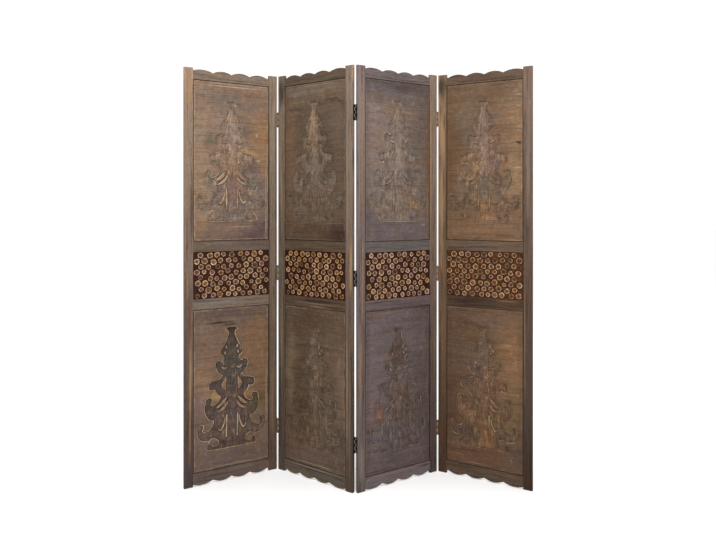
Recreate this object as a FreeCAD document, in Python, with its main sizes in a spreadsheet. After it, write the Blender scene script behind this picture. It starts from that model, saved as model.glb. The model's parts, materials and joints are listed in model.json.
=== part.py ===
import FreeCAD, Part

import math
import os

import Sketcher

# A folding screen of four framed wooden panels, hinged edge to edge and standing in a zigzag.
# Each panel holds two boards with a sunk carving of a scrolled fir tree, and between them
# a band of round log slices on a dark backing. Lengths are in millimetres, angles in degrees.
#
# Panel frame: X runs across the panel from its left edge, Y from its front face into the
# thickness, Z up from the floor. Hinge frame: Z is the hinge axis, X points at the stile that
# the leaf is screwed to, Y runs from the axis into the stile's thickness, and Z is zero at the
# middle hinge.

SIZES = (
    ("panel_width", 401.5, "one panel over its two stiles"),
    ("panel_thick", 13, "thickness of the stiles"),
    ("stile_width", 37, "face width of a stile"),
    ("edge_round", 1.2, "rounding of the stiles' long edges"),
    ("foot_clear", 3, "floor to the lowest point of the bottom rail"),
    ("bottom_rail_height", 49, "bottom rail over its scallops"),
    ("lower_board_height", 665, "lower carved board between its rails"),
    ("mid_rail_height", 42, "either rail beside the band of slices"),
    ("band_height", 193, "band of slices between its rails"),
    ("upper_board_height", 660, "upper carved board between its rails"),
    ("top_rail_height", 41.5, "top rail over its scallops"),
    ("crest_drop", 4.5, "top of the stiles down to the crests of the top rail"),
    ("rail_setback", 1, "stile face to rail face, at the front and at the back"),
    ("scallop_first", 82, "width of the scallop beside the leading stile"),
    ("scallop_pitch", 79, "width of every other scallop"),
    ("scallop_rise", 10, "cusp to crest of a scallop"),
    ("scallop_start", 4.5, "height above the cusps where the first scallop meets the stile"),
    ("groove_width", 5, "groove that holds boards and tenons"),
    ("groove_depth", 8, "depth of that groove"),
    ("fit_gap", 0.2, "play on each side of a tongue or a tenon"),
    ("end_gap", 0.8, "play at the end of a tongue or a tenon"),
    ("tenon_length", 20, "tenon of a rail"),
    ("tenon_shoulder", 5, "cusp of a scalloped rail to its tenon"),
    ("board_drop", 1, "rail face to the face of a carved board"),
    ("board_margin", 0.8, "shadow gap round the raised face of a board"),
    ("board_bevel", 4.5, "width of the bevel round the raised face of a board"),
    ("carve_depth", 3, "depth of the sunk tree"),
    ("tree_side_margin", 19, "stile to the widest scroll of the tree"),
    ("tree_end_margin", 83, "rail to the tip and to the foot of the tree"),
    ("slice_drop", 0.7, "rail face to the face of the log slices"),
    ("slice_rows", 8, "rows of slices in a band"),
    ("slice_columns", 10, "slices in the first row, one less in the next"),
    ("slice_least", 11, "radius of the thinnest branch"),
    ("slice_most", 15.5, "radius of the thickest branch"),
    ("slice_gap", 0.8, "least gap between slices"),
    ("slice_wander", 6, "how far a slice strays from its even place"),
    ("hinge_inset", 188, "end of the stile to the middle of the nearest hinge"),
    ("hinge_length", 63, "one hinge along its axis"),
    ("knuckle_radius", 2.2, "outer radius of the knuckles"),
    ("knuckle_clear", 0.4, "knuckle to the edge of either stile"),
    ("knuckle_gap", 0.4, "gap between two knuckles"),
    ("axis_proud", 1, "hinge axis in front of the faces that fold together"),
    ("leaf_thick", 1.2, "thickness of a hinge leaf"),
    ("leaf_clear", 0.4, "plate of a leaf to the other leaf's knuckles"),
    ("leaf_margin", 3, "edge of a leaf to the far face of the stile"),
    ("pin_radius", 1.05, "radius of a hinge pin"),
    ("pin_play", 0.05, "radial play of a pin in its knuckles"),
    ("pin_head_radius", 1.8, "radius of the heads of a pin"),
    ("pin_head_height", 1.2, "height of the heads of a pin"),
    ("screw_radius", 1.5, "shank radius of a hinge screw"),
    ("screw_length", 16, "hinge screw from head to tip"),
    ("screw_tip", 3, "pointed end of a hinge screw"),
    ("screw_spacing", 22, "distance between the screws of a leaf"),
    ("screw_play", 0.05, "radial play of a screw in leaf and stile"),
    ("driver_slot", 0.7, "width and depth of the slot in a screw head"),
    ("heading_1", 30, "panel 1 turned away from the line across the front"),
    ("heading_2", -36, "panel 2"),
    ("heading_3", 32, "panel 3"),
    ("heading_4", -29, "panel 4"),
)

PANELS = (1, 2, 3, 4)
SCREWS_PER_LEAF = 3
HINGES_PER_JOINT = 3
KNUCKLES = 5
HALF_TURN = 180
FULL_TURN = 360
COUNTERSINK_ANGLE = 90

doc = FreeCAD.newDocument("folding_screen")
sheet = doc.addObject("Spreadsheet::Sheet", "Sizes")
for row, (alias, value, note) in enumerate(SIZES, start=1):
    sheet.set(f"A{row}", alias)
    sheet.set(f"B{row}", str(value))
    sheet.setAlias(f"B{row}", alias)
    sheet.set(f"C{row}", note)
doc.recompute()


def measure(expression):
    """Return the number that an expression of the sheet stands for."""
    return float(sheet.evalExpression(expression))


# Heights in a panel, from the floor up, and depths from the front face, as sheet expressions
BOTTOM_RAIL_LOW = "Sizes.foot_clear"
LOWER_BOARD_LOW = BOTTOM_RAIL_LOW + " + Sizes.bottom_rail_height"
LOWER_MID_LOW = LOWER_BOARD_LOW + " + Sizes.lower_board_height"
BAND_LOW = LOWER_MID_LOW + " + Sizes.mid_rail_height"
UPPER_MID_LOW = BAND_LOW + " + Sizes.band_height"
UPPER_BOARD_LOW = UPPER_MID_LOW + " + Sizes.mid_rail_height"
TOP_RAIL_LOW = UPPER_BOARD_LOW + " + Sizes.upper_board_height"
CREST = TOP_RAIL_LOW + " + Sizes.top_rail_height"
PANEL_HEIGHT = CREST + " + Sizes.crest_drop"
INNER_LEFT = "Sizes.stile_width"
INNER_RIGHT = "Sizes.panel_width - Sizes.stile_width"
GROOVE_FRONT = "(Sizes.panel_thick - Sizes.groove_width) / 2"
TONGUE_FRONT = GROOVE_FRONT + " + Sizes.fit_gap"
TONGUE_THICK = "Sizes.groove_width - 2 * Sizes.fit_gap"
BOARD_FACE = "Sizes.rail_setback + Sizes.board_drop"
SLICE_FACE = "Sizes.rail_setback + Sizes.slice_drop"
RAIL_THICK = "Sizes.panel_thick - 2 * Sizes.rail_setback"
TONGUE_REACH = "Sizes.groove_depth - Sizes.end_gap"

# Tenon and mortise heights of the four rails, low and high
TENONS = (
    (
        f"{BOTTOM_RAIL_LOW} + Sizes.scallop_rise + Sizes.tenon_shoulder",
        f"{LOWER_BOARD_LOW} - Sizes.groove_depth",
    ),
    (f"{LOWER_MID_LOW} + Sizes.groove_depth", f"{BAND_LOW} - Sizes.groove_depth"),
    (f"{UPPER_MID_LOW} + Sizes.groove_depth", f"{UPPER_BOARD_LOW} - Sizes.groove_depth"),
    (
        f"{TOP_RAIL_LOW} + Sizes.groove_depth",
        f"{CREST} - Sizes.scallop_rise - Sizes.tenon_shoulder",
    ),
)
BOTTOM_TENON, LOWER_MID_TENON, UPPER_MID_TENON, TOP_TENON = TENONS

# Half outline of the carved tree from its tip down to its foot. The first number of a point is
# its share of the half width, from the middle line outwards, the second its share of the
# height, from the foot up. Two numbers draw a straight line to the point, and four numbers
# an arc through the first point to the second.
TREE_START_SHARES = (0.0, 1.0)
TREE_EDGE_SHARES = (
    # tip with its two small horns, and the spire
    (0.111, 1.000, 0.188, 0.978),
    (0.160, 0.982, 0.111, 0.972),
    (0.086, 0.952, 0.118, 0.920),
    (0.188, 0.872, 0.285, 0.831),
    # first tier
    (0.326, 0.799, 0.278, 0.771),
    (0.236, 0.763, 0.222, 0.745),
    # second tier, a scroll on each side
    (0.250, 0.724, 0.326, 0.713),
    (0.358, 0.728, 0.403, 0.727),
    (0.479, 0.705, 0.458, 0.673),
    (0.389, 0.629, 0.264, 0.606),
    # third tier, with blunt tips
    (0.347, 0.578, 0.458, 0.570),
    (0.611, 0.558),
    (0.660, 0.548, 0.667, 0.526),
    (0.653, 0.496, 0.583, 0.490),
    (0.528, 0.492, 0.507, 0.504),
    (0.458, 0.466, 0.340, 0.432),
    # fourth tier, large scrolls that curl up and in
    (0.410, 0.390, 0.542, 0.363),
    (0.618, 0.363, 0.632, 0.382),
    (0.590, 0.402, 0.625, 0.426),
    (0.728, 0.424, 0.778, 0.386),
    (0.806, 0.329, 0.750, 0.283),
    (0.674, 0.250, 0.542, 0.239),
    # fifth tier, the widest
    (0.604, 0.184, 0.750, 0.155),
    (0.847, 0.153, 0.875, 0.175),
    (0.842, 0.195, 0.882, 0.215),
    (0.979, 0.213, 1.000, 0.173),
    (0.965, 0.112, 0.847, 0.086),
    (0.681, 0.074),
    # bay above the foot, and the foot with its curled ends
    (0.549, 0.095, 0.431, 0.078),
    (0.382, 0.052, 0.472, 0.030),
    (0.549, 0.023, 0.604, 0.036),
    (0.681, 0.050, 0.715, 0.028),
    (0.729, 0.010, 0.681, 0.000),
    (0.0, 0.0),
)

# Islands left standing in the sunk tree on either side of the trunk, each a closed run of
# steps that starts at its first point
TREE_ISLAND_SHARES = (
    ((0.160, 0.853), (0.184, 0.839, 0.167, 0.825), (0.142, 0.839, 0.160, 0.853)),
    ((0.188, 0.804), (0.215, 0.793, 0.201, 0.777), (0.174, 0.791, 0.188, 0.804)),
    ((0.132, 0.671), (0.229, 0.652, 0.299, 0.683), (0.215, 0.667, 0.132, 0.671)),
    ((0.167, 0.594), (0.312, 0.526), (0.264, 0.498, 0.188, 0.480), (0.167, 0.594)),
    ((0.174, 0.418), (0.285, 0.363, 0.465, 0.341), (0.333, 0.380, 0.174, 0.418)),
    ((0.125, 0.392), (0.229, 0.327, 0.458, 0.307), (0.264, 0.341, 0.125, 0.392)),
    (
        (0.146, 0.269),
        (0.163, 0.276, 0.181, 0.269),
        (0.181, 0.094),
        (0.163, 0.087, 0.146, 0.094),
        (0.146, 0.269),
    ),
    (
        (0.215, 0.261),
        (0.236, 0.193, 0.326, 0.145),
        (0.396, 0.155, 0.417, 0.183),
        (0.382, 0.163, 0.333, 0.159),
        (0.271, 0.193, 0.215, 0.261),
    ),
)

# Turns, in radians, and a spread that make the places and sizes of the log slices look random
ROW_TURN = 5.13
COLUMN_TURN = 3.71
PANEL_TURN = 1.97
ACROSS_TURN = 1.0
UP_TURN = 2.33
SIZE_TURN = 4.57
SPREAD = 997
# How often the slices are pushed apart
SETTLING_ROUNDS = 80


def new_body(name):
    """Start one piece, named as its node."""
    body = doc.addObject("PartDesign::Body", name)
    body.Label = name
    return body


def flat_sketch(body, name, role, offset):
    """Add a sketch to a body on one of its origin planes, moved along the plane's normal."""
    sketch = body.newObject("Sketcher::SketchObject", name)
    plane = next(item for item in body.Origin.OriginFeatures if item.Role == role)
    sketch.AttachmentSupport = (plane, [""])
    sketch.MapMode = "FlatFace"
    sketch.setExpression("AttachmentOffset.Base.z", offset)
    return sketch


def bind(sketch, kind, edge, point, expression):
    """Hold a point of an edge at a distance from the sketch's origin."""
    held = Sketcher.Constraint(kind, -1, 1, edge, point, measure(expression))
    number = sketch.addConstraint(held)
    sketch.setExpression(f"Constraints[{number}]", expression)


def rectangle(sketch, left, right, low, high):
    """Draw a rectangle whose four sides follow expressions of the sheet."""
    x0, x1, y0, y1 = (measure(side) for side in (left, right, low, high))
    corners = ((x0, y0), (x1, y0), (x1, y1), (x0, y1))
    first = sketch.GeometryCount
    for number, corner in enumerate(corners):
        following = corners[(number + 1) % len(corners)]
        line = Part.LineSegment(FreeCAD.Vector(*corner), FreeCAD.Vector(*following))
        sketch.addGeometry(line, False)
    for number in range(len(corners)):
        following = first + (number + 1) % len(corners)
        sketch.addConstraint(Sketcher.Constraint("Coincident", first + number, 2, following, 1))
    for number, kind in enumerate(("Horizontal", "Vertical", "Horizontal", "Vertical")):
        sketch.addConstraint(Sketcher.Constraint(kind, first + number))
    bind(sketch, "DistanceX", first, 1, left)
    bind(sketch, "DistanceY", first, 1, low)
    bind(sketch, "DistanceX", first + 2, 1, right)
    bind(sketch, "DistanceY", first + 2, 1, high)


def closed_outline(sketch, corners):
    """Draw a closed run of straight lines whose corners follow expressions of the sheet."""
    points = [FreeCAD.Vector(measure(across), measure(up)) for across, up in corners]
    first, count = sketch.GeometryCount, len(corners)
    for number, point in enumerate(points):
        following = points[(number + 1) % count]
        sketch.addGeometry(Part.LineSegment(point, following), False)
    for number in range(count):
        following = first + (number + 1) % count
        sketch.addConstraint(Sketcher.Constraint("Coincident", first + number, 2, following, 1))
    for number, (across, up) in enumerate(corners):
        bind(sketch, "DistanceX", first + number, 1, across)
        bind(sketch, "DistanceY", first + number, 1, up)


def circle(sketch, across, up, radius):
    """Draw a circle whose place and radius follow expressions of the sheet."""
    middle = FreeCAD.Vector(measure(across), measure(up))
    curve = Part.Circle(middle, FreeCAD.Vector(0, 0, 1), measure(radius))
    edge = sketch.addGeometry(curve, False)
    bind(sketch, "DistanceX", edge, 3, across)
    bind(sketch, "DistanceY", edge, 3, up)
    number = sketch.addConstraint(Sketcher.Constraint("Radius", edge, measure(radius)))
    sketch.setExpression(f"Constraints[{number}]", radius)


def extrude(kind, body, sketch, length, backwards=False):
    """Pad or pocket a sketch. A pad follows the plane's normal, a pocket goes against it."""
    feature = body.newObject(f"PartDesign::{kind}", f"{sketch.Name}_{kind.lower()}")
    feature.Profile = sketch
    feature.setExpression("Length", length)
    feature.Reversed = backwards
    sketch.Visibility = False
    return feature


def turned(body, sketch, axis):
    """Revolve a sketch fully about one of its own axes."""
    feature = body.newObject("PartDesign::Revolution", f"{sketch.Name}_turned")
    feature.Profile = sketch
    feature.ReferenceAxis = (sketch, [axis])
    feature.Angle = FULL_TURN
    sketch.Visibility = False
    return feature


def repeated(body, features, sketch, patterns):
    """Repeat features up the body, by a count and a length for each pattern."""
    multiple = body.newObject("PartDesign::MultiTransform", f"{sketch.Name}_repeated")
    multiple.Originals = features
    runs = []
    for number, (count, length) in enumerate(patterns, start=1):
        run = body.newObject("PartDesign::LinearPattern", f"{sketch.Name}_run_{number}")
        run.Direction = (sketch, ["V_Axis"])
        run.Occurrences = count
        run.setExpression("Length", length)
        runs.append(run)
    multiple.Transformations = runs
    body.Tip = multiple
    return multiple


def front_sketch(body, name, depth):
    """Add a sketch seen from the front, at a depth behind the panel's front face."""
    return flat_sketch(body, name, "XZ_Plane", f"-({depth})")


def front_pad(body, name, front, thick):
    """Return a front sketch whose pad will reach forwards to the depth called front."""
    return front_sketch(body, name, f"{front} + {thick}")


def panel_placements():
    """Return the four panels' placements, chained from hinge axis to hinge axis."""
    width = measure("Sizes.panel_width")
    thick = measure("Sizes.panel_thick")
    half_gap = measure(HALF_GAP)
    proud = measure("Sizes.axis_proud")
    up = FreeCAD.Vector(0, 0, 1)
    headings = {panel: measure(f"Sizes.heading_{panel}") for panel in PANELS}
    turns = {panel: FreeCAD.Rotation(up, headings[panel]) for panel in PANELS}
    starts = {PANELS[0]: FreeCAD.Vector(0, 0, 0)}
    for panel, following in zip(PANELS, PANELS[1:]):
        # the axis lies in front of a joint that points away, and behind one that points near
        depth = -proud if headings[panel] > headings[following] else thick + proud
        axis = starts[panel] + turns[panel].multVec(FreeCAD.Vector(width + half_gap, depth))
        reach = turns[following].multVec(FreeCAD.Vector(-half_gap, depth))
        starts[following] = axis - reach

    # the middle of the floor box, found from the rounded corners of the panels
    bend = measure("Sizes.edge_round")
    centres = [
        starts[panel] + turns[panel].multVec(FreeCAD.Vector(across, deep))
        for panel in PANELS
        for across in (bend, width - bend)
        for deep in (bend, thick - bend)
    ]
    middle = FreeCAD.Vector(
        (min(c.x for c in centres) + max(c.x for c in centres)) / 2,
        (min(c.y for c in centres) + max(c.y for c in centres)) / 2,
    )
    return {
        panel: FreeCAD.Placement(starts[panel] - middle, turns[panel]) for panel in PANELS
    }


HALF_GAP = "(Sizes.knuckle_radius + Sizes.knuckle_clear)"
PLACEMENTS = panel_placements()

# Which side of a panel carries a hinge, and whether the hinge folds towards its front face
HINGED_SIDES = {
    (1, "right"): "front",
    (2, "left"): "front",
    (2, "right"): "back",
    (3, "left"): "back",
    (3, "right"): "front",
    (4, "left"): "front",
}
# The leaves that hold the pins of each joint, named by the two panels that it joins
PIN_SIDES = {"12": (2, "left"), "23": (2, "right"), "34": (3, "right")}

HINGE_HEIGHTS = (
    "Sizes.hinge_inset",
    f"({PANEL_HEIGHT}) / 2",
    f"{PANEL_HEIGHT} - Sizes.hinge_inset",
)
PLATE_START = "Sizes.knuckle_radius + Sizes.leaf_clear"
LEAF_REACH = "Sizes.axis_proud + Sizes.panel_thick - Sizes.leaf_margin"
SCREW_LINE = f"({PLATE_START} + {LEAF_REACH}) / 2"
SCREW_HEAD_RADIUS = "Sizes.screw_radius + Sizes.leaf_thick"
LEAF_FACE = f"{HALF_GAP} - Sizes.leaf_thick"


def screw_heights(hinge_height):
    """Return the heights of the screws of one leaf, as sheet expressions."""
    middle = (SCREWS_PER_LEAF - 1) / 2
    return [
        f"{hinge_height} + {number - middle} * Sizes.screw_spacing"
        for number in range(SCREWS_PER_LEAF)
    ]


def make_stile(panel, side):
    """Make one upright of a panel, with its groove, mortises and screw holes."""
    left_side = side == "left"
    body = new_body(f"{side}_stile_{panel}")
    outline = flat_sketch(body, f"outline_{side}_{panel}", "XY_Plane", "0")
    edges = ("0", INNER_LEFT) if left_side else (INNER_RIGHT, "Sizes.panel_width")
    rectangle(outline, *edges, "0", "Sizes.panel_thick")
    upright = extrude("Pad", body, outline, PANEL_HEIGHT)
    doc.recompute()
    long_edges = [
        f"Edge{number}"
        for number, edge in enumerate(upright.Shape.Edges, start=1)
        if math.isclose(edge.Length, measure(PANEL_HEIGHT))
    ]
    fillet = body.newObject("PartDesign::Fillet", f"long_edges_{side}_{panel}")
    fillet.Base = (upright, long_edges)
    fillet.setExpression("Radius", "Sizes.edge_round")

    inner = INNER_LEFT if left_side else INNER_RIGHT
    groove = flat_sketch(body, f"groove_{side}_{panel}", "YZ_Plane", inner)
    groove_back = f"{GROOVE_FRONT} + Sizes.groove_width"
    groove_low = f"{LOWER_BOARD_LOW} - Sizes.groove_depth"
    groove_high = f"{TOP_RAIL_LOW} + Sizes.groove_depth"
    rectangle(groove, GROOVE_FRONT, groove_back, groove_low, groove_high)
    extrude("Pocket", body, groove, "Sizes.groove_depth", backwards=not left_side)

    mortises = flat_sketch(body, f"mortises_{side}_{panel}", "YZ_Plane", inner)
    for low, high in TENONS:
        play = "Sizes.fit_gap"
        rectangle(mortises, GROOVE_FRONT, groove_back, f"{low} - {play}", f"{high} + {play}")
    depth = "Sizes.tenon_length + Sizes.end_gap"
    extrude("Pocket", body, mortises, depth, backwards=not left_side)

    face = HINGED_SIDES.get((panel, side))
    if face:
        outer = "0" if left_side else "Sizes.panel_width"
        holes = flat_sketch(body, f"screw_holes_{side}_{panel}", "YZ_Plane", outer)
        line = f"{SCREW_LINE} - Sizes.axis_proud"
        if face == "back":
            line = f"Sizes.panel_thick - ({line})"
        for hinge_height in HINGE_HEIGHTS:
            for height in screw_heights(hinge_height):
                circle(holes, line, height, "Sizes.screw_radius + Sizes.screw_play")
        depth = "Sizes.screw_length - Sizes.leaf_thick + Sizes.end_gap"
        extrude("Pocket", body, holes, depth, backwards=left_side)
    return body


def scallop_rise_at(distance):
    """Return how far a full scallop has risen at a distance from its cusp."""
    half_chord = measure("Sizes.scallop_pitch") / 2
    rise = measure("Sizes.scallop_rise")
    radius = (half_chord**2 + rise**2) / (2 * rise)
    return math.sqrt(radius**2 - (half_chord - distance) ** 2) - (radius - rise)


def scallop_run():
    """Return three points of each scallop, as distance from the leading stile and rise."""
    opening = measure(f"{INNER_RIGHT} - ({INNER_LEFT})")
    pitch = measure("Sizes.scallop_pitch")
    rise = measure("Sizes.scallop_rise")
    start, end = 0.0, measure("Sizes.scallop_first")
    start_rise = measure("Sizes.scallop_start")
    run = []
    while end < opening:
        run.append(((start, start_rise), ((start + end) / 2, rise), (end, 0.0)))
        start, end, start_rise = end, end + pitch, 0.0
    left_over = opening - start
    if left_over > measure("Sizes.fit_gap"):
        points = [
            (start + part, scallop_rise_at(part)) for part in (left_over / 2, left_over)
        ]
        run.append(((start, 0.0), *points))
    return run


def scalloped_outline(sketch, panel, straight, cusp, outwards):
    """Draw a rail with one straight edge and one scalloped edge, seen from the front."""
    leading_left = panel % 2 == 1
    start = measure(INNER_LEFT if leading_left else INNER_RIGHT)
    way = 1 if leading_left else -1

    def place(point):
        distance, rise = point
        return FreeCAD.Vector(start + way * distance, cusp + outwards * rise)

    run = scallop_run()
    curves = []
    for first, middle, last in run:
        curves.append(Part.Arc(place(first), place(middle), place(last)))
    near_end = place(run[0][0])
    far_end = place(run[-1][-1])
    near_corner = FreeCAD.Vector(near_end.x, straight)
    far_corner = FreeCAD.Vector(far_end.x, straight)
    curves.append(Part.LineSegment(far_end, far_corner))
    curves.append(Part.LineSegment(far_corner, near_corner))
    curves.append(Part.LineSegment(near_corner, near_end))
    sketch.addGeometry(curves, False)


def finish_rail(body, name, tenon, groove_edges):
    """Give a rail its two tenons and the grooves in its long edges."""
    tongue = front_pad(body, f"tenons_{name}", TONGUE_FRONT, TONGUE_THICK)
    left = f"{INNER_LEFT} - Sizes.tenon_length"
    right = f"{INNER_RIGHT} + Sizes.tenon_length"
    rectangle(tongue, left, right, *tenon)
    extrude("Pad", body, tongue, TONGUE_THICK)
    grooves = front_sketch(body, f"grooves_{name}", GROOVE_FRONT)
    for low, high in groove_edges:
        rectangle(grooves, INNER_LEFT, INNER_RIGHT, low, high)
    extrude("Pocket", body, grooves, "Sizes.groove_width")


def make_mid_rail(panel, kind, low, high, tenon):
    """Make one of the two straight rails beside the band of slices."""
    name = f"{kind}_mid_rail_{panel}"
    body = new_body(name)
    outline = front_pad(body, f"outline_{name}", "Sizes.rail_setback", RAIL_THICK)
    rectangle(outline, INNER_LEFT, INNER_RIGHT, low, high)
    extrude("Pad", body, outline, RAIL_THICK)
    lower_groove = (low, f"{low} + Sizes.groove_depth")
    upper_groove = (f"{high} - Sizes.groove_depth", high)
    finish_rail(body, name, tenon, (lower_groove, upper_groove))
    return body


def make_top_rail(panel):
    """Make the top rail with its scalloped upper edge."""
    name = f"top_rail_{panel}"
    body = new_body(name)
    outline = front_pad(body, f"outline_{name}", "Sizes.rail_setback", RAIL_THICK)
    cusp = measure(f"{CREST} - Sizes.scallop_rise")
    scalloped_outline(outline, panel, measure(TOP_RAIL_LOW), cusp, outwards=1)
    extrude("Pad", body, outline, RAIL_THICK)
    groove = (TOP_RAIL_LOW, f"{TOP_RAIL_LOW} + Sizes.groove_depth")
    finish_rail(body, name, TOP_TENON, (groove,))
    return body


def make_bottom_rail(panel):
    """Make the bottom rail with its scalloped lower edge."""
    name = f"bottom_rail_{panel}"
    body = new_body(name)
    outline = front_pad(body, f"outline_{name}", "Sizes.rail_setback", RAIL_THICK)
    cusp = measure(f"{BOTTOM_RAIL_LOW} + Sizes.scallop_rise")
    scalloped_outline(outline, panel, measure(LOWER_BOARD_LOW), cusp, outwards=-1)
    extrude("Pad", body, outline, RAIL_THICK)
    groove = (f"{LOWER_BOARD_LOW} - Sizes.groove_depth", LOWER_BOARD_LOW)
    finish_rail(body, name, BOTTOM_TENON, (groove,))
    return body


def tree_curves(low, high):
    """Return the curves of the sunk tree and its islands, for a board between two heights."""
    middle = measure("Sizes.panel_width") / 2
    half_width = middle - measure(INNER_LEFT) - measure("Sizes.tree_side_margin")
    foot = measure(low) + measure("Sizes.tree_end_margin")
    height = measure(high) - measure("Sizes.tree_end_margin") - foot

    def trace(start, steps, side):
        def place(across, up):
            return FreeCAD.Vector(middle + side * half_width * across, foot + height * up)

        curves = []
        point = place(*start)
        for step in steps:
            end = place(*step[-2:])
            if len(step) == 2:
                curves.append(Part.LineSegment(point, end))
            else:
                curves.append(Part.Arc(point, place(*step[:2]), end))
            point = end
        return curves

    curves = []
    for side in (-1, 1):
        curves += trace(TREE_START_SHARES, TREE_EDGE_SHARES, side)
        for start, *steps in TREE_ISLAND_SHARES:
            curves += trace(start, steps, side)
    return curves


def tongue_plate(body, name, low, high):
    """Make the plate that fills the opening between two heights and sits in the grooves."""
    plate = front_pad(body, f"plate_{name}", TONGUE_FRONT, TONGUE_THICK)
    left = f"{INNER_LEFT} - ({TONGUE_REACH})"
    right = f"{INNER_RIGHT} + {TONGUE_REACH}"
    rectangle(plate, left, right, f"{low} - ({TONGUE_REACH})", f"{high} + {TONGUE_REACH}")
    return extrude("Pad", body, plate, TONGUE_THICK)


def make_board(panel, kind, low, high):
    """Make one carved board: a tongue all round, a raised bevelled face and a sunk tree."""
    name = f"{kind}_board_{panel}"
    body = new_body(name)
    tongue_plate(body, name, low, high)
    raised = front_sketch(body, f"raised_{name}", TONGUE_FRONT)
    margin = "Sizes.board_margin"
    sides = (f"{INNER_LEFT} + {margin}", f"{INNER_RIGHT} - {margin}")
    rectangle(raised, *sides, f"{low} + {margin}", f"{high} - {margin}")
    rise = f"({TONGUE_FRONT} - ({BOARD_FACE}))"
    field = extrude("Pad", body, raised, rise)
    field.setExpression("TaperAngle", f"-atan(Sizes.board_bevel / {rise})")
    tree = front_sketch(body, f"tree_{name}", BOARD_FACE)
    tree.addGeometry(tree_curves(low, high), False)
    extrude("Pocket", body, tree, "Sizes.carve_depth")
    return body


def make_backing(panel):
    """Make the dark board behind the log slices."""
    name = f"band_backing_{panel}"
    body = new_body(name)
    tongue_plate(body, name, BAND_LOW, UPPER_MID_LOW)
    return body


def uneven(row, column, panel, turn):
    """Return a number from zero to one that looks random from slice to slice."""
    angle = row * ROW_TURN + column * COLUMN_TURN + panel * PANEL_TURN
    return math.sin(angle * turn) * SPREAD % 1


def strewn_slices(panel, sides):
    """Return place and radius of a band's log slices, strewn unevenly between its sides."""
    (left, right), (low, high) = sides
    rows, columns = int(measure("Sizes.slice_rows")), int(measure("Sizes.slice_columns"))
    wander = measure("Sizes.slice_wander")
    least, most = measure("Sizes.slice_least"), measure("Sizes.slice_most")
    across, up = (right - left) / columns, (high - low) / rows
    slices = []
    for row in range(rows):
        staggered = row % 2
        for column in range(columns - staggered):
            x = left + (column + (1 + staggered) / 2) * across
            z = low + (row + 1 / 2) * up
            x += wander * (2 * uneven(row, column, panel, ACROSS_TURN) - 1)
            z += wander * (2 * uneven(row, column, panel, UP_TURN) - 1)
            radius = least + (most - least) * uneven(row, column, panel, SIZE_TURN)
            slices.append([x, z, radius])
    return slices


def push_apart(one, other, gap):
    """Move two slices that lie too close, half the way each."""
    apart = math.dist(one[:2], other[:2])
    overlap = max(one[2] + other[2] + gap - apart, 0)
    for axis in range(2):
        step = (one[axis] - other[axis]) / apart * overlap / 2
        one[axis] += step
        other[axis] -= step


def slice_places(panel):
    """Return centre and radius of every log slice in a panel's band, none touching another."""
    gap = measure("Sizes.slice_gap")
    left, right = measure(INNER_LEFT), measure(INNER_RIGHT)
    low, high = measure(BAND_LOW), measure(UPPER_MID_LOW)
    sides = ((left, right), (low, high))
    slices = strewn_slices(panel, sides)
    for _ in range(SETTLING_ROUNDS):
        for number, one in enumerate(slices):
            for other in slices[:number]:
                push_apart(one, other, gap)
            for axis, (first, last) in enumerate(sides):
                reach = one[2] + gap
                one[axis] = min(max(one[axis], first + reach), last - reach)
    places = []
    for x, z, radius in slices:
        room = [x - left - gap, right - x - gap, z - low - gap, high - z - gap]
        room += [
            (math.dist((x, z), (a, b)) - gap) * radius / (radius + beside)
            for a, b, beside in slices
            if (a, b) != (x, z)
        ]
        places.append((x, z, min(radius, *room)))
    return places


def make_slices(panel):
    """Make the log slices of one band, glued side by side on the backing."""
    name = f"log_slices_{panel}"
    body = new_body(name)
    discs = front_sketch(body, f"discs_{name}", TONGUE_FRONT)
    forwards = FreeCAD.Vector(0, 0, 1)
    circles = [
        Part.Circle(FreeCAD.Vector(x, z), forwards, radius)
        for x, z, radius in slice_places(panel)
    ]
    discs.addGeometry(circles, False)
    extrude("Pad", body, discs, f"{TONGUE_FRONT} - ({SLICE_FACE})")
    return body


def hinge_placement(panel, side):
    """Return the placement of a hinge frame on one side of a panel."""
    face = HINGED_SIDES[panel, side]
    left_side, front = side == "left", face == "front"
    half_gap = measure(HALF_GAP)
    across = -half_gap if left_side else measure("Sizes.panel_width") + half_gap
    proud = measure("Sizes.axis_proud")
    deep = -proud if front else measure("Sizes.panel_thick") + proud
    middle = FreeCAD.Vector(across, deep, measure(HINGE_HEIGHTS[1]))
    turns = {
        (True, True): FreeCAD.Rotation(),
        (False, True): FreeCAD.Rotation(FreeCAD.Vector(0, 1, 0), HALF_TURN),
        (True, False): FreeCAD.Rotation(FreeCAD.Vector(1, 0, 0), HALF_TURN),
        (False, False): FreeCAD.Rotation(FreeCAD.Vector(0, 0, 1), HALF_TURN),
    }
    local = FreeCAD.Placement(middle, turns[left_side, front])
    return PLACEMENTS[panel].multiply(local)


def hinge_offsets():
    """Return the heights of the hinges from the middle one, as sheet expressions."""
    middle = (HINGES_PER_JOINT - 1) / 2
    reach = f"({HINGE_HEIGHTS[1]} - Sizes.hinge_inset)"
    return [f"{(number - middle) / middle} * {reach}" for number in range(HINGES_PER_JOINT)]


def knuckle_spans(offset, holds_pins):
    """Return low and high of a leaf's knuckles on one hinge, as sheet expressions."""
    pitch = f"(Sizes.hinge_length + Sizes.knuckle_gap) / {KNUCKLES}"
    first = 0 if holds_pins else 1
    spans = []
    for number in range(first, KNUCKLES, 2):
        low = f"{offset} - Sizes.hinge_length / 2 + {number} * {pitch}"
        spans.append((low, f"{low} + {pitch} - Sizes.knuckle_gap"))
    return spans


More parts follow.
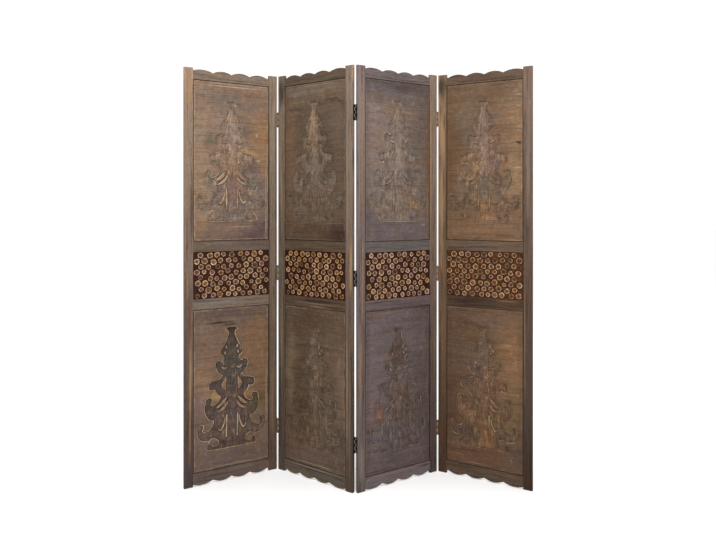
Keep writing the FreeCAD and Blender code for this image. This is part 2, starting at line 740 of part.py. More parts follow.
def make_leaves(panel, side):
    """Make the three hinge leaves on one side of a panel."""
    name = f"hinge_leaves_{panel}_{side}"
    holds_pins = (panel, side) in PIN_SIDES.values()
    body = new_body(name)

    plates = flat_sketch(body, f"plates_{name}", "YZ_Plane", LEAF_FACE)
    tabs = flat_sketch(body, f"tabs_{name}", "YZ_Plane", LEAF_FACE)
    knuckles = flat_sketch(body, f"knuckles_{name}", "XZ_Plane", "0")
    holes = flat_sketch(body, f"holes_{name}", "YZ_Plane", LEAF_FACE)
    for offset in hinge_offsets():
        half = "Sizes.hinge_length / 2"
        rectangle(plates, PLATE_START, LEAF_REACH, f"{offset} - {half}", f"{offset} + {half}")
        for span in knuckle_spans(offset, holds_pins):
            rectangle(tabs, "0", PLATE_START, *span)
            rectangle(knuckles, "0", "Sizes.knuckle_radius", *span)
        for height in screw_heights(offset):
            circle(holes, SCREW_LINE, height, "Sizes.screw_radius")
    extrude("Pad", body, plates, "Sizes.leaf_thick")
    extrude("Pad", body, tabs, "Sizes.leaf_thick")
    turned(body, knuckles, "V_Axis")

    bore = flat_sketch(body, f"bore_{name}", "XY_Plane", "0")
    circle(bore, "0", "0", "Sizes.pin_radius + Sizes.pin_play")
    drilled = body.newObject("PartDesign::Pocket", f"drilled_{name}")
    drilled.Profile = bore
    drilled.Type = "ThroughAll"
    drilled.Midplane = True
    doc.recompute()

    sunk = body.newObject("PartDesign::Hole", f"countersunk_{name}")
    sunk.Profile = holes
    sunk.DepthType = "ThroughAll"
    sunk.Reversed = True
    sunk.Threaded = False
    sunk.HoleCutType = "Countersink"
    sunk.HoleCutCustomValues = True
    sunk.setExpression("Diameter", "2 * (Sizes.screw_radius + Sizes.screw_play)")
    sunk.setExpression("HoleCutDiameter", f"2 * ({SCREW_HEAD_RADIUS} + Sizes.screw_play)")
    sunk.HoleCutCountersinkAngle = COUNTERSINK_ANGLE
    body.Placement = hinge_placement(panel, side)
    return body


def make_screws(panel, side):
    """Make the nine screws that hold the leaves on one side of a panel."""
    name = f"hinge_screws_{panel}_{side}"
    body = new_body(name)
    lowest = screw_heights(hinge_offsets()[0])[0]
    profile = flat_sketch(body, f"profile_{name}", "XZ_Plane", f"-({SCREW_LINE})")
    profile.setExpression("AttachmentOffset.Base.y", lowest)
    cone_end = f"{LEAF_FACE} + {SCREW_HEAD_RADIUS} - Sizes.screw_radius"
    tip = f"{LEAF_FACE} + Sizes.screw_length"
    outline = (
        (LEAF_FACE, "0"),
        (LEAF_FACE, SCREW_HEAD_RADIUS),
        (cone_end, "Sizes.screw_radius"),
        (f"{tip} - Sizes.screw_tip", "Sizes.screw_radius"),
        (tip, "0"),
    )
    closed_outline(profile, outline)
    screw = turned(body, profile, "H_Axis")
    slot = flat_sketch(body, f"slot_{name}", "YZ_Plane", LEAF_FACE)
    half_slot = "Sizes.driver_slot / 2"
    ends = (f"{SCREW_LINE} - ({SCREW_HEAD_RADIUS})", f"{SCREW_LINE} + {SCREW_HEAD_RADIUS}")
    rectangle(slot, *ends, f"{lowest} - {half_slot}", f"{lowest} + {half_slot}")
    cut = extrude("Pocket", body, slot, "Sizes.driver_slot", backwards=True)
    leaf = (SCREWS_PER_LEAF, f"{SCREWS_PER_LEAF - 1} * Sizes.screw_spacing")
    joint = (HINGES_PER_JOINT, f"2 * ({HINGE_HEIGHTS[1]} - Sizes.hinge_inset)")
    repeated(body, [screw, cut], profile, (leaf, joint))
    body.Placement = hinge_placement(panel, side)
    return body


def make_pins(joint):
    """Make the three headed pins of one joint, which stay with the leaf that holds them."""
    name = f"hinge_pins_{joint}"
    body = new_body(name)
    profile = flat_sketch(body, f"profile_{name}", "XZ_Plane", "0")
    half = "Sizes.hinge_length / 2"
    for offset in hinge_offsets():
        low, high = f"{offset} - {half}", f"{offset} + {half}"
        outline = (
            ("0", f"{low} - Sizes.pin_head_height"),
            ("Sizes.pin_head_radius", f"{low} - Sizes.pin_head_height"),
            ("Sizes.pin_head_radius", low),
            ("Sizes.pin_radius", low),
            ("Sizes.pin_radius", high),
            ("Sizes.pin_head_radius", high),
            ("Sizes.pin_head_radius", f"{high} + Sizes.pin_head_height"),
            ("0", f"{high} + Sizes.pin_head_height"),
        )
        closed_outline(profile, outline)
    turned(body, profile, "V_Axis")
    body.Placement = hinge_placement(*PIN_SIDES[joint])
    return body


nodes = []
for panel in PANELS:
    pieces = [
        make_stile(panel, "left"),
        make_stile(panel, "right"),
        make_bottom_rail(panel),
        make_board(panel, "lower", LOWER_BOARD_LOW, LOWER_MID_LOW),
        make_mid_rail(panel, "lower", LOWER_MID_LOW, BAND_LOW, LOWER_MID_TENON),
        make_backing(panel),
        make_slices(panel),
        make_mid_rail(panel, "upper", UPPER_MID_LOW, UPPER_BOARD_LOW, UPPER_MID_TENON),
        make_board(panel, "upper", UPPER_BOARD_LOW, TOP_RAIL_LOW),
        make_top_rail(panel),
    ]
    for piece in pieces:
        piece.Placement = PLACEMENTS[panel]
    nodes += pieces
for panel, side in HINGED_SIDES:
    nodes += [make_leaves(panel, side), make_screws(panel, side)]
for joint in PIN_SIDES:
    nodes.append(make_pins(joint))
doc.recompute()

failed = [
    item.Name for item in doc.Objects if {"Invalid", "Error"} & set(item.State)
]
if failed:
    raise RuntimeError("these objects failed: " + ", ".join(failed))
for node in nodes:
    if node.Shape.isNull() or not node.Shape.isValid() or not node.Shape.Solids:
        raise RuntimeError(f"{node.Label} has no valid solid")

os.makedirs("parts", exist_ok=True)
for node in nodes:
    node.Shape.exportStep(f"parts/{node.Label}.step")

for joint, side in PIN_SIDES.items():
    axis = hinge_placement(*side).Base
    print(f"joint {joint} axis at {axis.x:.4f} {axis.y:.4f} {axis.z:.4f}")
print(f"{len(nodes)} nodes")
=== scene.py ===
import json
import math

import bmesh
import bpy
import numpy as np
from mathutils import Matrix, Vector
from mathutils.geometry import delaunay_2d_cdt


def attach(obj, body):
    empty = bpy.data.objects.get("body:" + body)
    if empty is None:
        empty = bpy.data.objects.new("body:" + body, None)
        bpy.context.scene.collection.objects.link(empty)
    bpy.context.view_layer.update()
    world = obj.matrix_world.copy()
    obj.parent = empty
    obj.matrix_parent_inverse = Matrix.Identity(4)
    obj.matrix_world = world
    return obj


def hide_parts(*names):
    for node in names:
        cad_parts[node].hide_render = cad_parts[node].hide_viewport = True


# A folding screen of four wooden panels with sunk carved fir trees and bands of log slices.
# Panel frame, in millimetres: X runs across the panel from its left edge, Y from its front
# face into the thickness, Z up from the floor.

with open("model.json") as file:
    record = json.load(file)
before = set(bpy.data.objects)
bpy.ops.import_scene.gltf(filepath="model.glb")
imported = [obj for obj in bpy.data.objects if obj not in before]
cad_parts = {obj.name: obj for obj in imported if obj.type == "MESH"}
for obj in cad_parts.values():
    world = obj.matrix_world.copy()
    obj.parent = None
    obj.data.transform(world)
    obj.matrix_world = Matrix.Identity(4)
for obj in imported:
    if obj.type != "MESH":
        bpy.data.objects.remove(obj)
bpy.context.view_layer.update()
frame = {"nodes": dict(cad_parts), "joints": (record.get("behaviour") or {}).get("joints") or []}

MM = 0.001
PANELS = (1, 2, 3, 4)
HEADINGS = {1: 30, 2: -36, 3: 32, 4: -29}
PANEL_WIDTH = 401.5
PANEL_THICK = 13
STILE_WIDTH = 37
HALF_GAP = 2.6
AXIS_PROUD = 1
INNER_LEFT = STILE_WIDTH
INNER_RIGHT = PANEL_WIDTH - STILE_WIDTH
HALF_OPENING = PANEL_WIDTH / 2 - STILE_WIDTH
BOARDS = {"lower": (52, 717), "upper": (994, 1654)}
BAND = (759, 952)
TONGUE_FRONT = 4.2
TONGUE_BACK = 8.8
TONGUE_REACH = 7.2

# The joint beside each panel, and where its axis lies in the panel frame
ANCHORS = {
    1: ("fold_12", PANEL_WIDTH + HALF_GAP, -AXIS_PROUD),
    2: ("fold_12", -HALF_GAP, -AXIS_PROUD),
    3: ("fold_23", -HALF_GAP, PANEL_THICK + AXIS_PROUD),
    4: ("fold_34", -HALF_GAP, -AXIS_PROUD),
}


def panel_matrix(panel):
    """Return the matrix from a panel's frame, in metres, to the row's frame."""
    joint, across, deep = ANCHORS[panel]
    axis = next(item["pos_m"] for item in frame["joints"] if item["name"] == joint)
    turn = Matrix.Rotation(math.radians(HEADINGS[panel]), 4, "Z")
    start = Vector((axis[0], axis[1], 0)) - turn @ Vector((across * MM, deep * MM, 0))
    return Matrix.Translation(start) @ turn


PANEL_MATRICES = {panel: panel_matrix(panel) for panel in PANELS}


def uneven(*numbers):
    """Return a number from minus one to one that looks random but is always the same."""
    angle = sum(number * (1.97 + 1.31 * place) for place, number in enumerate(numbers, start=1))
    return math.sin(angle * 4.57 + 1.3 * math.sin(angle * 7.31))


def linear_tones(values):
    """Return linear colour values from display values, 0 to 255."""
    shares = values / 255
    return np.where(shares < 0.04045, shares / 12.92, ((shares + 0.055) / 1.055) ** 2.4)


# Shapes

# Half outline of the carved tree from its tip down to its foot, and the islands of wood left
# standing in it. The first number of a point is its part of the half width, from the middle
# line outwards, the second its part of the height, from the foot up, both in thousandths. Two
# numbers draw a straight line to the point, and four an arc through the first point to the
# second.
TREE_START = (0, 1000)
TREE_EDGE = (
    (111, 1000, 188, 978), (160, 982, 111, 972), (86, 952, 118, 920), (188, 872, 285, 831),
    (326, 799, 278, 771), (236, 763, 222, 745), (250, 724, 326, 713), (358, 728, 403, 727),
    (479, 705, 458, 673), (389, 629, 264, 606), (347, 578, 458, 570), (611, 558),
    (660, 548, 667, 526), (653, 496, 583, 490), (528, 492, 507, 504), (458, 466, 340, 432),
    (410, 390, 542, 363), (618, 363, 632, 382), (590, 402, 625, 426), (728, 424, 778, 386),
    (806, 329, 750, 283), (674, 250, 542, 239), (604, 184, 750, 155), (847, 153, 875, 175),
    (842, 195, 882, 215), (979, 213, 1000, 173), (965, 112, 847, 86), (681, 74), (549, 95, 431, 78),
    (382, 52, 472, 30), (549, 23, 604, 36), (681, 50, 715, 28), (729, 10, 681, 0), (0, 0),
)
TREE_ISLANDS = (
    ((160, 853), (184, 839, 167, 825), (142, 839, 160, 853)),
    ((188, 804), (215, 793, 201, 777), (174, 791, 188, 804)),
    ((132, 671), (229, 652, 299, 683), (215, 667, 132, 671)),
    ((167, 594), (312, 526), (264, 498, 188, 480), (167, 594)),
    ((174, 418), (285, 363, 465, 341), (333, 380, 174, 418)),
    ((125, 392), (229, 327, 458, 307), (264, 341, 125, 392)),
    ((146, 269), (163, 276, 181, 269), (181, 94), (163, 87, 146, 94), (146, 269)),
    (
        (215, 261), (236, 193, 326, 145), (396, 155, 417, 183), (382, 163, 333, 159),
        (271, 193, 215, 261),
    ),
)
TREE_SIDE_MARGIN = 19
TREE_END_MARGIN = 83

# Depth of the board's face, and the steps between the points of its mesh
BOARD_FACE = 2.0
BOARD_MARGIN = 0.8
BOARD_BEVEL = 4.5
CARVE_DEPTH = 3.0
# Edges that turn by more degrees than this stay sharp
BOARD_CREASE = 55
SLICE_CREASE = 40
OUTLINE_STEP = 2.4
# Rows of points beside the tree's outline, as distances outwards, and the spacing inside a row
OUTLINE_ROWS = ((-0.55, 1), (-1.1, 1), (0.5, 1), (-1.7, 1), (1.2, 1), (-3.2, 2), (2.8, 2))
OUTLINE_CLEARANCE = 2.2
TRIANGLE_HEIGHT = 0.866
FLOOR_STEP = 4.5
FIELD_STEP = 7.0
BORDER_STEP = 7.0
# Distances of the board's border rows from the frame's inner edge, the groove's side negative
BORDER_ROWS = (-TONGUE_REACH, 0.0, BOARD_MARGIN, 3.0, BOARD_MARGIN + BOARD_BEVEL, 6.3, 8.5)


def arc_points(start, middle, end, step):
    """Return points on the arc through three points, without the first one."""
    a, b, c = (np.array(point, float) for point in (start, middle, end))
    twice = 2 * ((b[0] - a[0]) * (c[1] - a[1]) - (b[1] - a[1]) * (c[0] - a[0]))
    if abs(twice) < 1e-6:
        return line_points(start, end, step)
    ab, ac = b - a, c - a
    centre = a + np.array((
        ac[1] * (ab @ ab) - ab[1] * (ac @ ac), ab[0] * (ac @ ac) - ac[0] * (ab @ ab)
    )) / twice
    radius = np.linalg.norm(a - centre)
    angles = [math.atan2(*(point - centre)[::-1]) for point in (a, b, c)]
    way = 1 if twice > 0 else -1
    sweep = (way * (angles[2] - angles[0])) % (2 * math.pi)
    count = max(2, math.ceil(radius * sweep / step))
    return [
        (
            centre[0] + radius * math.cos(angles[0] + way * sweep * number / count),
            centre[1] + radius * math.sin(angles[0] + way * sweep * number / count),
        )
        for number in range(1, count + 1)
    ]


def line_points(start, end, step):
    """Return points on a straight line, without the first one."""
    count = max(1, math.ceil(math.dist(start, end) / step))
    return [
        (
            start[0] + (end[0] - start[0]) * number / count,
            start[1] + (end[1] - start[1]) * number / count,
        )
        for number in range(1, count + 1)
    ]


def trace(start, steps, half_width, height, foot, step):
    """Return the points of a run of lines and arcs, given in thousandths."""
    def place(across, up):
        return (half_width * (across / 1000), foot + height * (up / 1000))

    points = [place(*start)]
    for numbers in steps:
        end = place(*numbers[-2:])
        if len(numbers) == 2:
            points += line_points(points[-1], end, step)
        else:
            points += arc_points(points[-1], place(*numbers[:2]), end, step)
    return points


def mirrored(points):
    """Return points of the half outline on the other side, in the other order."""
    return [(-x, z) for x, z in reversed(points)]


def tree_loops(low, high):
    """Return the closed outlines of a tree, the outer one first, each with its points."""
    foot = low + TREE_END_MARGIN
    size = (HALF_OPENING - TREE_SIDE_MARGIN, high - TREE_END_MARGIN - foot, foot, OUTLINE_STEP)
    half = trace(TREE_START, TREE_EDGE, *size)
    loops = [half[:-1] + mirrored(half)[:-1]]
    for start, *steps in TREE_ISLANDS:
        island = trace(start, steps, *size)[:-1]
        loops += [island, mirrored(island)]
    return [np.array(loop) for loop in loops]


class Outline:
    """Signed distance to the tree: negative in the carving, positive on the standing wood."""

    def __init__(self, loops):
        self.starts = np.concatenate(loops)
        self.ends = np.concatenate([np.roll(loop, -1, axis=0) for loop in loops])
        self.island = np.concatenate([
            np.full(len(loop), number > 0) for number, loop in enumerate(loops)
        ])

    def measure(self, points):
        """Return signed distance and whether an island is nearest, for each point."""
        gaps, isles = [], []
        along = self.ends - self.starts
        lengths = (along**2).sum(1)
        for chunk in np.array_split(points, max(1, len(points) // 1500)):
            reach = chunk[:, None, :] - self.starts[None]
            share = np.clip((reach * along[None]).sum(2) / lengths[None], 0, 1)
            away = reach - share[..., None] * along[None]
            squares = (away**2).sum(2)
            nearest = squares.argmin(1)
            gap = np.sqrt(squares[np.arange(len(chunk)), nearest])
            crosses = (self.starts[None, :, 1] > chunk[:, None, 1]) != (
                self.ends[None, :, 1] > chunk[:, None, 1]
            )
            rise = np.where(along[:, 1] == 0, 1, along[:, 1])
            meet = self.starts[None, :, 0] + reach[..., 1] * (along[:, 0] / rise)[None]
            inside = (crosses & (chunk[:, None, 0] < meet)).sum(1) % 2 == 1
            gaps.append(np.where(inside, -gap, gap))
            isles.append(self.island[nearest])
        return np.concatenate(gaps), np.concatenate(isles)


class Scatter:
    """Points that keep a least distance to the points taken before them."""

    def __init__(self):
        self.points = []
        self.cells = {}
        self.cell = 2.0

    def near(self, x, z, least):
        reach = int(math.ceil(least / self.cell))
        column, row = int(x // self.cell), int(z // self.cell)
        for i in range(column - reach, column + reach + 1):
            for j in range(row - reach, row + reach + 1):
                for a, b in self.cells.get((i, j), ()):
                    if (a - x) ** 2 + (b - z) ** 2 < least * least:
                        return True
        return False

    def add(self, x, z, least=0.0):
        """Take a point, and return its number, or None if it is too near to another."""
        if least and self.near(x, z, least):
            return None
        self.points.append((x, z))
        key = (int(x // self.cell), int(z // self.cell))
        self.cells.setdefault(key, []).append((x, z))
        return len(self.points) - 1


def border_gap(x, z, low, high):
    """Return the distance from the frame's inner edge, negative inside the groove."""
    return np.minimum(HALF_OPENING - np.abs(x), np.minimum(z - low, high - z))


def board_triangles(low, high):
    """Return points, triangles, distance to the tree and nearest island of a board's front."""
    loops = tree_loops(low, high)
    outline = Outline(loops)
    scatter, edges = Scatter(), []

    def add_loop(points):
        numbers = [scatter.add(*point) for point in points]
        edges.extend(zip(numbers, numbers[1:] + numbers[:1]))

    half = HALF_OPENING
    for gap in BORDER_ROWS:
        corners = [
            (-half + gap, low + gap), (half - gap, low + gap),
            (half - gap, high - gap), (-half + gap, high - gap),
        ]
        run = []
        for number, corner in enumerate(corners):
            run += line_points(corner, corners[(number + 1) % 4], BORDER_STEP)
        add_loop(run)
    for loop in loops:
        add_loop(loop)
    for distance, skip in OUTLINE_ROWS:
        for loop in loops:
            ahead, behind = np.roll(loop, -1, axis=0), np.roll(loop, 1, axis=0)
            along = ahead - behind
            along /= np.linalg.norm(along, axis=1)[:, None]
            normals = np.stack((along[:, 1], -along[:, 0]), axis=1)
            places = np.concatenate([
                loop[::skip] + side * abs(distance) * normals[::skip] for side in (1, -1)
            ])
            gaps, _ = outline.measure(places)
            for (x, z), gap in zip(places, gaps):
                if abs(gap - distance) < 0.06 + 0.06 * abs(distance):
                    scatter.add(x, z, 0.42 if abs(distance) < 1.5 else 1.1)
    for step, inside in ((FLOOR_STEP, True), (FIELD_STEP, False)):
        rows = np.arange(low + 10, high - 10, step * TRIANGLE_HEIGHT)
        places = np.array([
            (x + (step / 2 if number % 2 else 0), z)
            for number, z in enumerate(rows)
            for x in np.arange(-half + 11, half - 11, step)
        ])
        gaps, _ = outline.measure(places)
        for (x, z), gap in zip(places, gaps):
            if (gap < 0) == inside and abs(gap) > OUTLINE_CLEARANCE:
                scatter.add(x, z, step * 0.55)

    flat = [Vector(point) for point in scatter.points]
    vertices, _, faces, *_ = delaunay_2d_cdt(flat, edges, [], 0, 1e-6)
    points = np.array([tuple(vertex) for vertex in vertices])
    gaps, isles = outline.measure(points)
    return points, faces, gaps, isles


def smooth_step(value, low, high):
    """Return zero below the span, one above it and a smooth rise inside it."""
    share = np.clip((value - low) / (high - low), 0, 1)
    return share * share * (3 - 2 * share)


def carve_profile(gap):
    """Return how deep the surface lies below the board's face, by its distance to the tree."""
    shoulder = 0.4 * np.clip(1 - gap / 1.2, 0, 1) ** 2
    wall = (CARVE_DEPTH - 0.7) * smooth_step(-gap, 0.0, 1.15)
    cove = 0.3 * smooth_step(-gap, 0.9, 3.2)
    return np.where(gap > 0, shoulder, 0.4 + wall + cove)


def border_profile(gap):
    """Return the depth of the uncarved board, by its distance from the frame's inner edge."""
    low, top = BOARD_MARGIN, BOARD_MARGIN + BOARD_BEVEL
    share = np.clip((gap - low) / (top - low), 0, 1)
    rise = TONGUE_FRONT - BOARD_FACE
    rounded = 0.12 * np.clip(1 - np.abs(gap - top) / 1.1, 0, 1) ** 2
    return TONGUE_FRONT - rise * share + rounded


def mesh_object(name, vertices, faces, panel, attributes):
    """Make an object in a panel's frame, from vertices in millimetres."""
    mesh = bpy.data.meshes.new(name)
    mesh.from_pydata([tuple(vertex * MM) for vertex in vertices], [], faces)
    for label, values in attributes.items():
        if np.ndim(values) == 1:
            layer = mesh.attributes.new(label, "FLOAT", "POINT")
            layer.data.foreach_set("value", np.asarray(values, np.float32))
        else:
            layer = mesh.attributes.new(label, "FLOAT_VECTOR", "POINT")
            layer.data.foreach_set("vector", np.asarray(values, np.float32).ravel())
    item = bpy.data.objects.new(name, mesh)
    bpy.context.scene.collection.objects.link(item)
    item.matrix_world = PANEL_MATRICES[panel]
    return item


def keep_solid(item, solid, crease):
    """Give a closed mesh to its object, smooth but for edges sharper than the crease."""
    bmesh.ops.recalc_face_normals(solid, faces=solid.faces[:])
    solid.to_mesh(item.data)
    solid.free()
    item.data.polygons.foreach_set("use_smooth", [True] * len(item.data.polygons))
    item.data.set_sharp_from_angle(angle=math.radians(crease))
    item.data.update()


def close_back(item, depth, crease):
    """Close a front surface with side walls down to a flat back."""
    solid = bmesh.new()
    solid.from_mesh(item.data)
    rim = [edge for edge in solid.edges if edge.is_boundary]
    walls = bmesh.ops.extrude_edge_only(solid, edges=rim)["geom"]
    for part in walls:
        if isinstance(part, bmesh.types.BMVert):
            part.co.y = depth * MM
    rim = [edge for edge in solid.edges if edge.is_boundary]
    back = bmesh.ops.holes_fill(solid, edges=rim, sides=0)["faces"]
    bmesh.ops.triangulate(solid, faces=back)
    keep_solid(item, solid, crease)


